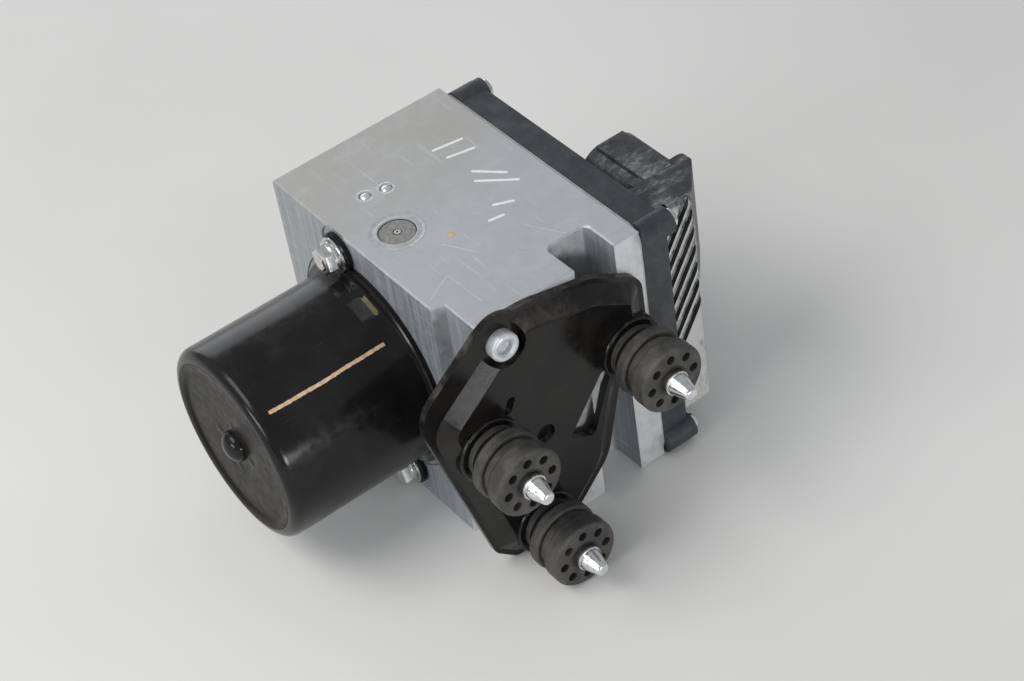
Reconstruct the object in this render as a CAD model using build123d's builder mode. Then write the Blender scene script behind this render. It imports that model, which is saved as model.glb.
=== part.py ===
from build123d import *
import os
from math import cos, radians, sin

# Anti-lock brake modulator: a drilled aluminium valve block with its pump motor on one face, the
# electronic control unit on the opposite face and a pressed bracket with three rubber bushes.
# The block lies with one machined face on the ground plane; the origin is the centre of that face.
# X runs from the brake-line ports to the bracket, Y from the motor to the control unit, Z is up.
# All sizes are in millimetres.

# ---------------------------------------------------------------- clearances
seat_gap = 0.1  # glued and pressed pieces against their seats
running_gap = 0.05  # radial clearance of shafts and pistons
rotor_gap = 1.2  # air gap between the armature and the magnets
sweep_gap = 0.3  # clearance to what the rotor sweeps

# ---------------------------------------------------------------- valve block
block_w = 104.6  # port face to bracket face
block_t = 67.5  # motor face to control-unit face
block_h = 98.7
edge_break = 0.6
step_w = 15.4  # milled step on the corner between the motor and the bracket
step_d = 4.4
step_run = 1.6
pocket_d = 14.0  # milled clearance slot in the bracket face
pocket_w = 15.6
pocket_from_motor_face = 49.9
pocket_r = 2.5

port_x = -block_w / 2
bracket_x = block_w / 2
motor_y = -block_t / 2
ecu_y = block_t / 2

# ---------------------------------------------------------------- pump motor
motor_from_ports = 46.4
motor_h = 49.7
can_r = 34.35
can_len = 56.6
can_wall = 1.9
can_shoulder = 3.6
can_dish = 0.8  # fall of the end face from rim to centre
bump_r = 4.8
bump_h = 2.9
bump_skirt_r = 7.6
bump_round = 0.8
flange_r = 37.4
flange_t = 2.2
ear_r = 7.2
ear_angle = 104.0
ear_overlap = 3.0  # how deep an ear reaches into the flange
ear_pitch_r = flange_r + ear_r - ear_overlap
register_r = 39.6  # turned seat for the motor flange on the block
register_t = 0.5
magnet_t = 4.6
magnet_len = 34.0
magnet_from_flange = 15.0
magnet_slot = 9.0
magnet_count = 4
brush_plate_t = 6.0
brush_plate_inset = 1.0
brush_w = 4.4
brush_h = 3.6
brush_box_wall = 1.2
brush_len = 7.0
brush_box_t = 5.0
shaft_r = 4.0
tail_engagement = 9.0
end_play = 0.5
armature_len = 30.0
armature_slots = 12
slot_w = 2.6
slot_depth = 9.0
winding_len = 4.2
commutator_r = 10.5
commutator_len = 4.8
commutator_from_flange = 7.6
winding_r = 21.0
rear_shaft_r = 2.4
rear_wall = 1.0
rear_seat_t = 4.2
shaft_end_gap = 0.4
bearing_wall = 1.5
motor_bolt_len = 7.0
bolt_flange_r = 6.4
bolt_flange_t = 1.4
bolt_hex_r = 5.0
bolt_hex_t = 4.2
bolt_recess_r = 2.8
ball_bearing_r = 9.0
ball_bearing_t = 5.0

mx = port_x + motor_from_ports
motor_axis = Axis((mx, 0, motor_h), (0, 1, 0))
can_inner_r = can_r - can_wall

# ---------------------------------------------------------------- pump
pump_from_ports = 50.7
pump_from_motor_face = 14.1
pump_bore_r = 6.6
plug_core_r = 6.1
plug_t = 6.0
plug_dimple_r = 1.5
swage_r = 9.2
swage_ring_r = 7.5
swage_t = 0.9
piston_r = 4.5
piston_len = 19.0
sleeve_setback = 1.0
spring_r = 3.6
spring_wall = 0.9
ecc_ring_r = 9.2
ecc_core_r = 7.4
ecc_throw = 1.0
ecc_w = 9.0
chamber_r = 13.0
chamber_depth = 22.0
px = port_x + pump_from_ports
py = motor_y + pump_from_motor_face

# ---------------------------------------------------------------- small plugs, ports, accumulators
ball_r = 2.15
ball_depth = 4.4
ball_spots = [(29.1, 16.8), (30.7, 23.9)]  # from the port face, from the motor face
line_port_r = 4.55  # M10 x 1 minor radius
line_port_count = 4
line_port_pitch = 22.2
line_port_from_motor_face = 18.0
master_port_r = 5.55  # M12 x 1 minor radius
master_port_pitch = 30.0
master_port_from_motor_face = 38.0
line_port_depth = 13.0
master_port_depth = 15.0
accumulator_r = 11.0
accumulator_depth = 19.0
accumulator_cap_t = 3.0
accumulator_cap_inset = 0.4
accumulator_piston_t = 7.0
accumulator_spring_wall = 1.6
accumulator_pitch = 34.0
accumulator_h = 46.0
accumulator_from_motor_face = 19.0

# ---------------------------------------------------------------- valves and coils
valve_cols = 4
valve_rows = 3
valve_pitch_x = 20.0
valve_pitch_z = 25.0
valve_from_ports = 46.0
valve_h = 46.0
lead_bore_r = 3.0
lead_r = 1.1
lead_pitch = 3.2
valve_bore_r = 5.8
valve_depth = 21.0
valve_collar_r = 6.9
valve_collar_t = 1.0
dome_r = 4.0
dome_len = 6.4
coil_r = 9.0
coil_len = 6.6
coil_gap = 0.3
vx = port_x + valve_from_ports

# ---------------------------------------------------------------- control unit
gasket_t = 0.6
gasket_w = 2.2
ecu_inset = 1.4
ecu_foot = 0.8  # height of the plastic above the resting face
ecu_r = 5.0
frame_t = 10.0
frame_wall = 2.6
boss_r = 4.6
boss_proud = 1.6
boss_hole_r = 1.6
boss_from_ports = 8.0
boss_from_bracket_face = 1.2
boss_from_edge = 3.9
screw_r = 1.5
screw_head_r = 3.3
screw_head_t = 2.0
board_t = 1.6
board_gap = 0.8
cover_t = 13.0
cover_wall = 2.4
cover_low_h = 50.0  # top of the cover in front of the connector mouth
cover_r = 3.5
cover_edge_r = 2.2
tower_from_ports = 84.0
tower_side_inset = 1.6
roof_t = 1.8
post_r = 2.4
post_inset = 9.0
rib_count = 7
rib_w = 3.0
rib_pitch = 7.4
rib_depth = 1.6
rib_from_top = 6.0
rib_tilt = 57.0
socket_w = 24.0  # outer width of the connector shell, along Y
socket_h = 36.0
socket_len = 24.0
socket_wall = 2.0
socket_r = 9.0
socket_from_ports = 61.0
socket_cap_w = 11.0
socket_cap_t = 1.4
shoulder_t = 5.0  # collar behind the connector shell, along X
shoulder_edge_r = 1.6
pin_side = 0.7
pin_len = 9.0
pin_cols = 3
pin_rows = 9
pin_pitch = 3.2

# ---------------------------------------------------------------- bracket
bracket_out = 6.2  # outer face of the raised pan above the block face
ear_out = 7.4  # outer face of the three bush seats above the block face
sheet_t = 2.5
rim_w = 1.8
wall_run = 5.6  # how far the pan's wall leans in
wall_blend = 1.4
ear_blend = 0.8
screw_from_motor_face = 10.3
screw_h = 91.2
foot_from_motor_face = 9.2  # second screw, beside the left bush
foot_h = 40.5
pad_r = 7.4
m6_r = 2.95
m6_head_r = 5.0
m6_head_t = 4.0  # low head
m6_socket_r = 2.6
m6_head_edge = 0.7
m6_len = 14.0
m6_clear_r = 3.3

# bush axes, from the motor face and above the resting face
bush_left = (-1.3, 56.4)
bush_right = (55.3, 61.1)
bush_lower = (14.1, 12.5)
bush_r = 12.0
bush_groove_r = 10.3
bush_neck_r = 7.8
bush_lip_r = 9.3
bush_lip_t = 2.2
bush_neck_t = 2.8
bush_disc_t = 4.4
bush_groove_t = 3.2
bush_len = 19.0
bush_round = 1.1
bush_hole_r = 1.6
bush_hole_pcd_r = 8.3
bush_hole_depth = 4.0
bush_holes = 8
collar_r = 5.0
stud_r = 4.4
stud_land = 2.4
stud_tip_r = 2.6
stud_out = 10.5
stud_head_r = 6.5
stud_head_t = 1.6
stud_hole_r = 4.2

bx = bracket_x
plate_x = bx + ear_out


def on_bracket(point):
    """Bracket point: distance from the motor face and height, as YZ plane coordinates."""
    return (motor_y + point[0], point[1])


left = on_bracket(bush_left)
right = on_bracket(bush_right)
lower = on_bracket(bush_lower)
top_screw = on_bracket((screw_from_motor_face, screw_h))
foot_screw = on_bracket((foot_from_motor_face, foot_h))

ear_spots = [
    (mx + ear_pitch_r * cos(radians(a)), motor_h + ear_pitch_r * sin(radians(a)))
    for a in (ear_angle, ear_angle + 180)
]
port_plane = Plane.YZ.offset(port_x)
bracket_plane = Plane.YZ.offset(bx)
motor_plane = Plane.XZ.offset(-motor_y)
ecu_plane = Plane.XZ.offset(-ecu_y)
top_plane = Plane.XY.offset(block_h)

line_ports = [(motor_y + line_port_from_motor_face, block_h / 2 + (i - (line_port_count - 1) / 2) * line_port_pitch)
              for i in range(line_port_count)]
master_ports = [(motor_y + master_port_from_motor_face, block_h / 2 + s * master_port_pitch / 2) for s in (-1, 1)]
accumulators = [(motor_y + accumulator_from_motor_face, accumulator_h + s * accumulator_pitch / 2) for s in (-1, 1)]
balls = [(port_x + a, motor_y + b) for a, b in ball_spots]
valves = [(vx + (i - (valve_cols - 1) / 2) * valve_pitch_x, valve_h + (j - (valve_rows - 1) / 2) * valve_pitch_z)
          for i in range(valve_cols) for j in range(valve_rows)]
lead_spot = (vx - valve_pitch_x, valve_h - valve_pitch_z / 2)
board_y = ecu_y + gasket_t + frame_t + board_gap

# raised outline of the bracket, clockwise from the screw corner: from the motor face, height
bracket_corners = [(5, 100), (-22.5, 78.5), (-4, 8), (3.5, 1), (26, 1), (44, 19), (52, 47), (64.8, 62), (64.8, 83),
                   (46, 94), (21, 99.6)]
bracket_rounds = [7.0, 13.0, 6.0, 4.0, 8.0, 18.0, 6.0, 9.0, 9.0, 16.0, 18.0]
# foot of the pan's wall: it leaves a broad flange beside the upper screw
flange_at_screw = (11.2, 0.7)
flange_at_bush = (1.8, -6.7)
flange_round = 12.0
pan_corners = [(corner[0] + shift[0], corner[1] + shift[1])
               for corner, shift in zip(bracket_corners, (flange_at_screw, flange_at_bush))] + bracket_corners[2:-1]
pan_rounds = [flange_round, flange_round] + bracket_rounds[2:-1]
window_corners = [(43.6, 60), (27.6, 40), (37.2, 35.2), (46.2, 56.4)]
window_round = 1.6
ear_margin = 2.3  # bracket metal outside a bush lip
slot_at = (8.0, 68.5)
slot_len = 6.4
slot_width = 3.0
slot_tilt = 62.0
hole_at = (19.1, 48.5)
hole_r = 3.6

# ================================================================ valve block
with BuildPart() as valve_block:
    with BuildSketch():
        Rectangle(block_w, block_t)
        with BuildLine():
            Polyline((bx - step_w - step_run, motor_y), (bx - step_w, motor_y + step_d), (bx, motor_y + step_d),
                     (bx, motor_y), close=True)
        make_face(mode=Mode.SUBTRACT)
        with Locations((bx, motor_y + pocket_from_motor_face)):
            RectangleRounded(2 * pocket_d, pocket_w, pocket_r, mode=Mode.SUBTRACT)
    extrude(amount=block_h)
    ends = valve_block.faces().filter_by(Axis.Z)
    chamfer(ends.edges(), edge_break)

    # turned seat and eccentric chamber under the motor
    with BuildSketch(motor_plane):
        with Locations((mx, motor_h)):
            Circle(register_r)
        with Locations(*ear_spots):
            Circle(ear_r + register_r - flange_r)
    extrude(amount=-register_t, mode=Mode.SUBTRACT)
    with BuildSketch(motor_plane):
        with Locations((mx, motor_h)):
            Circle(chamber_r)
    extrude(amount=-chamber_depth, mode=Mode.SUBTRACT)
    with BuildSketch(motor_plane):
        with Locations((mx, motor_h)):
            Circle(shaft_r + running_gap + bearing_wall)
    extrude(amount=-(chamber_depth + tail_engagement), mode=Mode.SUBTRACT)

    # pump bores, drilled through from top to bottom and swaged over the plugs
    with BuildSketch(Plane.XY):
        with Locations((px, py)):
            Circle(pump_bore_r)
    extrude(amount=block_h, mode=Mode.SUBTRACT)
    for face_z, into in ((block_h, -1), (0, 1)):
        with BuildSketch(Plane.XY.offset(face_z)):
            with Locations((px, py)):
                Circle(swage_r)
        extrude(amount=into * swage_t, mode=Mode.SUBTRACT)
    with BuildSketch(top_plane):
        with Locations(*balls):
            Circle(ball_r)
    extrude(amount=-ball_depth, mode=Mode.SUBTRACT)

    # brake-line ports
    for spots, radius, depth in ((line_ports, line_port_r, line_port_depth),
                                 (master_ports, master_port_r, master_port_depth)):
        with BuildSketch(port_plane):
            with Locations(*spots):
                Circle(radius)
        extrude(amount=depth, mode=Mode.SUBTRACT)

    # pressure accumulators and bracket threads
    with BuildSketch(bracket_plane):
        with Locations(*accumulators):
            Circle(accumulator_r)
    extrude(amount=-accumulator_depth, mode=Mode.SUBTRACT)
    with BuildSketch(bracket_plane):
        with Locations(top_screw, foot_screw):
            Circle(m6_r + seat_gap)
    extrude(amount=-m6_len, mode=Mode.SUBTRACT)

    # valve bores, motor leads and motor bolts
    with BuildSketch(ecu_plane):
        with Locations(*valves):
            Circle(valve_bore_r)
    extrude(amount=valve_depth, mode=Mode.SUBTRACT)
    with BuildSketch(motor_plane):
        with Locations(lead_spot):
            Circle(lead_bore_r)
    extrude(amount=-block_t, mode=Mode.SUBTRACT)
    with BuildSketch(motor_plane):
        with Locations(*ear_spots):
            Circle(m6_r + seat_gap)
    extrude(amount=-motor_bolt_len, mode=Mode.SUBTRACT)
valve_block.part.label = "valve_block"

# ================================================================ motor
seat_y = motor_y + register_t  # the motor flange sits in the turned register
can_plane = Plane(origin=(mx, seat_y, motor_h), x_dir=(1, 0, 0), z_dir=(0, 0, 1))
can_end = -can_len - register_t
bump_end = can_end - bump_h

with BuildPart() as motor_can:
    with BuildSketch(can_plane):
        with BuildLine():
            Polyline((can_inner_r, 0), (flange_r, 0), (flange_r, -flange_t), (can_r, -flange_t),
                     (can_r, can_end + can_shoulder))
            RadiusArc((can_r, can_end + can_shoulder), (can_r - can_shoulder, can_end), can_shoulder)
            Polyline((can_r - can_shoulder, can_end), (bump_skirt_r, can_end + can_dish), (bump_r, can_end - bump_h / 2),
                     (bump_r, bump_end + bump_round))
            RadiusArc((bump_r, bump_end + bump_round), (bump_r - bump_round, bump_end), bump_round)
            Polyline((bump_r - bump_round, bump_end), (0, bump_end), (0, can_end + can_dish + can_wall),
                     (can_r - can_shoulder, can_end + can_wall))
            RadiusArc((can_r - can_shoulder, can_end + can_wall), (can_inner_r, can_end + can_shoulder),
                      -(can_shoulder - can_wall))
            Line((can_inner_r, can_end + can_shoulder), (can_inner_r, 0))
        make_face()
    revolve(axis=motor_axis)
    # two bolt ears on the flange
    with BuildSketch(Plane.XZ.offset(-seat_y)):
        with Locations(*ear_spots):
            Circle(ear_r)
    extrude(amount=flange_t)
    with BuildSketch(Plane.XZ.offset(-seat_y)):
        with Locations(*ear_spots):
            Circle(m6_clear_r)
    extrude(amount=flange_t, mode=Mode.SUBTRACT)
    # seat of the rear shaft bearing inside the end bump
    with BuildSketch(Plane.XZ.offset(-(seat_y + can_end + can_dish + can_wall))):
        with Locations((mx, motor_h)):
            Circle(rear_shaft_r + running_gap + rear_wall)
    extrude(amount=rear_seat_t, mode=Mode.SUBTRACT)
motor_can.part.label = "motor_can"


def ring(y_from, y_to, outer, inner=0.0, mode=Mode.ADD):
    """Ring about the motor axis between two depths along Y, counted from the flange seat."""
    with BuildSketch(Plane.XZ.offset(-(seat_y + y_to))) as section:
        with Locations((mx, motor_h)):
            Circle(outer)
            if inner > 0:
                Circle(inner, mode=Mode.SUBTRACT)
    extrude(section.sketch, amount=y_to - y_from, mode=mode)


with BuildPart() as motor_magnets:
    with BuildSketch(Plane.XZ.offset(-(seat_y - magnet_from_flange))):
        with Locations((mx, motor_h)):
            Circle(can_inner_r - seat_gap)
            Circle(can_inner_r - magnet_t, mode=Mode.SUBTRACT)
            for turn in range(magnet_count // 2):
                Rectangle(2 * can_r, magnet_slot, rotation=turn * 360 / magnet_count, mode=Mode.SUBTRACT)
    extrude(amount=magnet_len)
motor_magnets.part.label = "motor_magnets"

# brush plate with two brush boxes; it also carries the front ball bearing
plate_back = -brush_plate_inset
plate_front = plate_back - brush_plate_t
box_out = commutator_r + running_gap + brush_len + brush_box_wall
with BuildPart() as brush_plate:
    ring(plate_front, plate_back, can_inner_r - seat_gap, ball_bearing_r + seat_gap)
    with BuildSketch(Plane.XZ.offset(-(seat_y + plate_front))):
        with Locations(*[(mx + s * (commutator_r + 1 + (box_out - commutator_r - 1) / 2), motor_h) for s in (-1, 1)]):
            Rectangle(box_out - commutator_r - 1, brush_w + 2 * brush_box_wall)
    extrude(amount=brush_box_t)
    with BuildSketch(Plane.XZ.offset(-(seat_y + plate_front))):
        with Locations(*[(mx + s * (commutator_r + brush_len / 2), motor_h) for s in (-1, 1)]):
            Rectangle(brush_len + 2 * seat_gap, brush_w + 2 * seat_gap)
    extrude(amount=brush_box_t, mode=Mode.SUBTRACT)
brush_plate.part.label = "brush_plate"

with BuildPart() as carbon_brushes:
    with BuildSketch(Plane.XZ.offset(-(seat_y + plate_front - seat_gap))):
        with Locations((mx, motor_h)):
            Rectangle(2 * (commutator_r + brush_len), brush_w)
            Circle(commutator_r + running_gap, mode=Mode.SUBTRACT)
    extrude(amount=brush_h)
carbon_brushes.part.label = "carbon_brushes"

can_bottom = can_end + can_dish + can_wall
tail_end = chamber_depth + tail_engagement - register_t
with BuildPart() as motor_bearings:
    ring(plate_front + seat_gap, plate_front + seat_gap + ball_bearing_t, ball_bearing_r, shaft_r + running_gap)
    ring(can_bottom - rear_seat_t, can_bottom, rear_shaft_r + running_gap + rear_wall, rear_shaft_r + running_gap)
    ring(tail_end - tail_engagement, tail_end, shaft_r + running_gap + bearing_wall, shaft_r + running_gap)
motor_bearings.part.label = "motor_bearings"

# rotor: shaft with eccentric journal, laminated armature, end windings, commutator
arm_front = -(magnet_from_flange + (magnet_len - armature_len) / 2)
arm_back = arm_front - armature_len
armature_r = can_inner_r - magnet_t - rotor_gap
pump_y = pump_from_motor_face - register_t
with BuildPart() as motor_shaft:
    ring(can_bottom + shaft_end_gap, tail_end - end_play, shaft_r)
    ring(can_bottom - rear_seat_t + shaft_end_gap, can_bottom + shaft_end_gap, rear_shaft_r)
    with BuildSketch(Plane.XZ.offset(-(seat_y + pump_y + ecc_w / 2))):
        with Locations((mx + ecc_throw, motor_h)):
            Circle(ecc_core_r)
    extrude(amount=ecc_w)
motor_shaft.part.label = "motor_shaft"

with BuildPart() as eccentric_ring:
    with BuildSketch(Plane.XZ.offset(-(seat_y + pump_y + ecc_w / 2))):
        with Locations((mx + ecc_throw, motor_h)):
            Circle(ecc_ring_r)
            Circle(ecc_core_r + running_gap, mode=Mode.SUBTRACT)
    extrude(amount=ecc_w)
eccentric_ring.part.label = "eccentric_ring"

with BuildPart() as armature:
    ring(arm_back, arm_front, armature_r, shaft_r)
    with BuildSketch(Plane.XZ.offset(-(seat_y + arm_front))):
        with Locations((mx, motor_h)):
            with PolarLocations(armature_r - slot_depth / 2, armature_slots):
                Rectangle(slot_depth, slot_w)
    extrude(amount=armature_len, mode=Mode.SUBTRACT)
armature.part.label = "armature"

with BuildPart() as armature_windings:
    ring(arm_front, arm_front + winding_len, winding_r, shaft_r)
    ring(arm_back - winding_len, arm_back, winding_r, shaft_r)
    fillet(armature_windings.edges().filter_by(GeomType.CIRCLE).filter_by(lambda e: e.radius > shaft_r + 1), 1.2)
armature_windings.part.label = "armature_windings"

with BuildPart() as commutator:
    ring(-commutator_from_flange - commutator_len, -commutator_from_flange, commutator_r, shaft_r)
commutator.part.label = "commutator"

with BuildPart() as motor_bolts:
    with BuildSketch(Plane.XZ.offset(-seat_y)):
        with Locations(*ear_spots):
            Circle(m6_r)
    extrude(amount=-(motor_bolt_len - register_t - seat_gap))
    with BuildSketch(Plane.XZ.offset(-(seat_y - flange_t))):
        with Locations(*ear_spots):
            Circle(m6_r)
    extrude(amount=-flange_t)
    with BuildSketch(Plane.XZ.offset(-(seat_y - flange_t))):
        with Locations(*ear_spots):
            Circle(bolt_flange_r)
    extrude(amount=bolt_flange_t)
    with BuildSketch(Plane.XZ.offset(-(seat_y - flange_t - bolt_flange_t))):
        with Locations(*ear_spots):
            RegularPolygon(bolt_hex_r, 6)
    extrude(amount=bolt_hex_t)
    with BuildSketch(Plane.XZ.offset(-(seat_y - flange_t - bolt_flange_t - bolt_hex_t))):
        with Locations(*ear_spots):
            Circle(bolt_recess_r)
    extrude(amount=-bolt_hex_t / 2, mode=Mode.SUBTRACT)
motor_bolts.part.label = "motor_bolts"

with BuildPart() as motor_leads:
    with BuildSketch(Plane.XZ.offset(-(seat_y + plate_back))):
        with Locations(*[(lead_spot[0], lead_spot[1] + s * lead_pitch / 2) for s in (-1, 1)]):
            Circle(lead_r)
    extrude(amount=-(board_y - seat_y - plate_back))
motor_leads.part.label = "motor_leads"

# ================================================================ pump and hydraulics
plug_in = swage_t + plug_t
sleeve_from = motor_h + chamber_r + sleeve_setback
piston_from = motor_h + ecc_throw + ecc_ring_r + sweep_gap
for_bottom = 2 * motor_h


def pump_stack(z_from, z_to, outer, inner=0.0, mode=Mode.ADD):
    """Cylinder or ring on the pump axis between two heights."""
    with BuildSketch(Plane.XY.offset(z_from)) as section:
        with Locations((px, py)):
            Circle(outer)
            if inner > 0:
                Circle(inner, mode=Mode.SUBTRACT)
    extrude(section.sketch, amount=z_to - z_from, mode=mode)


with BuildPart() as pump_plug_upper:
    pump_stack(block_h - plug_in, block_h - swage_t, plug_core_r)
    pump_stack(block_h - swage_t, block_h - swage_t / 3, plug_core_r)
    chamfer(pump_plug_upper.faces().sort_by(Axis.Z)[-1].edges(), swage_t / 3)
    pump_stack(block_h - plug_dimple_r * 2 / 3, block_h, plug_dimple_r, mode=Mode.SUBTRACT)
pump_plug_upper.part.label = "pump_plug_upper"

with BuildPart() as pump_plug_lower:
    pump_stack(swage_t, plug_in, plug_core_r)
    pump_stack(swage_t / 3, swage_t, plug_core_r)
pump_plug_lower.part.label = "pump_plug_lower"

with BuildPart() as swage_rings:
    pump_stack(block_h - plug_in, block_h - swage_t, pump_bore_r - running_gap, plug_core_r + seat_gap)
    pump_stack(block_h - swage_t, block_h - swage_t / 2, swage_r - seat_gap, plug_core_r + seat_gap)
    pump_stack(swage_t, plug_in, pump_bore_r - running_gap, plug_core_r + seat_gap)
    pump_stack(swage_t / 2, swage_t, swage_r - seat_gap, plug_core_r + seat_gap)
    pump_stack(block_h - swage_t / 2, block_h - swage_t / 4, swage_ring_r, plug_core_r + seat_gap)
swage_rings.part.label = "swage_rings"

with BuildPart() as pump_sleeves:
    pump_stack(sleeve_from, block_h - plug_in, pump_bore_r - running_gap, piston_r + running_gap)
    pump_stack(plug_in, for_bottom - sleeve_from, pump_bore_r - running_gap, piston_r + running_gap)
pump_sleeves.part.label = "pump_sleeves"

with BuildPart() as pump_pistons:
    pump_stack(piston_from, piston_from + piston_len, piston_r)
    pump_stack(for_bottom - piston_from - piston_len, for_bottom - piston_from, piston_r)
pump_pistons.part.label = "pump_pistons"

with BuildPart() as pump_springs:
    pump_stack(piston_from + piston_len, block_h - plug_in, spring_r, spring_r - spring_wall)
    pump_stack(plug_in, for_bottom - piston_from - piston_len, spring_r, spring_r - spring_wall)
pump_springs.part.label = "pump_springs"

with BuildPart() as ball_plugs:
    with BuildSketch(Plane.XY.offset(block_h - ball_depth)):
        with Locations(*balls):
            Circle(ball_r - running_gap)
    extrude(amount=ball_depth - ball_r / 2)
    fillet(ball_plugs.faces().group_by(Axis.Z)[-1].edges(), ball_r * 0.6)
ball_plugs.part.label = "ball_plugs"


def on_accumulators(x_from, x_to, outer, inner=0.0):
    """Cylinders or rings on both accumulator axes between two X positions."""
    with BuildSketch(Plane.YZ.offset(x_from)) as section:
        with Locations(*accumulators):
            Circle(outer)
            if inner > 0:
                Circle(inner, mode=Mode.SUBTRACT)
    extrude(section.sketch, amount=x_to - x_from)


acc_bottom = bx - accumulator_depth
acc_cap = bx - accumulator_cap_inset - accumulator_cap_t
with BuildPart() as accumulator_caps:
    on_accumulators(acc_cap, acc_cap + accumulator_cap_t, accumulator_r - running_gap)
accumulator_caps.part.label = "accumulator_caps"
with BuildPart() as accumulator_pistons:
    on_accumulators(acc_bottom + seat_gap, acc_bottom + seat_gap + accumulator_piston_t, accumulator_r - running_gap)
accumulator_pistons.part.label = "accumulator_pistons"
with BuildPart() as accumulator_springs:
    on_accumulators(acc_bottom + seat_gap + accumulator_piston_t, acc_cap, accumulator_r / 2 + accumulator_spring_wall,
                    accumulator_r / 2)
accumulator_springs.part.label = "accumulator_springs"

with BuildPart() as valve_cartridges:
    with BuildSketch(ecu_plane):
        with Locations(*valves):
            Circle(valve_bore_r - running_gap)
    extrude(amount=valve_depth - seat_gap)
    with BuildSketch(ecu_plane):
        with Locations(*valves):
            Circle(valve_collar_r)
    extrude(amount=-valve_collar_t)
    with BuildSketch(ecu_plane.offset(-valve_collar_t)):
        with Locations(*valves):
            Circle(dome_r)
    extrude(amount=-dome_len)
    fillet(valve_cartridges.faces().group_by(Axis.Y)[-1].edges(), dome_r * 0.6)
valve_cartridges.part.label = "valve_cartridges"

with BuildPart() as solenoid_coils:
    with BuildSketch(ecu_plane.offset(-(valve_collar_t + coil_gap))):
        with Locations(*valves):
            Circle(coil_r)
            Circle(dome_r + coil_gap, mode=Mode.SUBTRACT)
    extrude(amount=-coil_len)
solenoid_coils.part.label = "solenoid_coils"

# ================================================================ electronic control unit
ecu_x0 = port_x + ecu_inset
ecu_x1 = bx
ecu_z1 = block_h - edge_break
ecu_cx = (ecu_x0 + ecu_x1) / 2
ecu_cz = (ecu_foot + ecu_z1) / 2
ecu_w = ecu_x1 - ecu_x0
ecu_h = ecu_z1 - ecu_foot
boss_low = ecu_foot + boss_r
boss_spots = [(x, z) for x in (port_x + boss_from_ports, bx - boss_from_bracket_face)
              for z in (boss_low, block_h - boss_from_edge)]

with BuildPart() as ecu_gasket:
    with BuildSketch(ecu_plane):
        with Locations((ecu_cx, ecu_cz)):
            RectangleRounded(ecu_w - 2 * seat_gap, ecu_h - 2 * seat_gap, ecu_r)
            RectangleRounded(ecu_w - 2 * gasket_w, ecu_h - 2 * gasket_w, ecu_r - 2, mode=Mode.SUBTRACT)
    extrude(amount=-gasket_t)
ecu_gasket.part.label = "ecu_gasket"

frame_plane = ecu_plane.offset(-gasket_t)
roof_low = cover_low_h - cover_wall
with BuildPart() as ecu_frame:
    with BuildSketch(frame_plane):
        with Locations((ecu_cx, ecu_cz)):
            RectangleRounded(ecu_w, ecu_h, ecu_r)
        with Locations(*boss_spots):
            Circle(boss_r)
    extrude(amount=-frame_t)
    with BuildSketch(frame_plane):
        with Locations((ecu_cx, ecu_cz)):
            RectangleRounded(ecu_w - 2 * frame_wall, ecu_h - 2 * frame_wall, ecu_r - 1)
        with Locations(*boss_spots):
            Circle(boss_r, mode=Mode.SUBTRACT)
    extrude(amount=-(frame_t - roof_t), mode=Mode.SUBTRACT)
    # the outer side is open only behind the low cover
    with BuildSketch(frame_plane.offset(-frame_t)):
        with Locations((ecu_cx, (ecu_foot + frame_wall + roof_low) / 2)):
            Rectangle(ecu_w - 2 * frame_wall, roof_low - ecu_foot - frame_wall)
        with Locations(*boss_spots):
            Circle(boss_r, mode=Mode.SUBTRACT)
    extrude(amount=roof_t, mode=Mode.SUBTRACT)
    with BuildSketch(frame_plane.offset(-frame_t)):
        with Locations(*boss_spots):
            Circle(boss_r)
    extrude(amount=-boss_proud)
    with BuildSketch(frame_plane.offset(-(frame_t + boss_proud))):
        with Locations(*boss_spots):
            Circle(boss_hole_r)
    extrude(amount=frame_t, mode=Mode.SUBTRACT)
ecu_frame.part.label = "ecu_frame"

with BuildPart() as ecu_screws:
    with BuildSketch(frame_plane.offset(-(frame_t + boss_proud))):
        with Locations(*boss_spots):
            Circle(screw_r)
    extrude(amount=frame_t - seat_gap)
    with BuildSketch(frame_plane.offset(-(frame_t + boss_proud))):
        with Locations(*boss_spots):
            Circle(screw_head_r)
    extrude(amount=-screw_head_t)
    fillet(ecu_screws.faces().group_by(Axis.Y)[-1].edges(), screw_head_t * 0.4)
    with BuildSketch(frame_plane.offset(-(frame_t + boss_proud + screw_head_t))):
        with Locations(*boss_spots):
            RegularPolygon(screw_r, 6)
    extrude(amount=screw_head_t * 0.6, mode=Mode.SUBTRACT)
ecu_screws.part.label = "ecu_screws"

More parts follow.
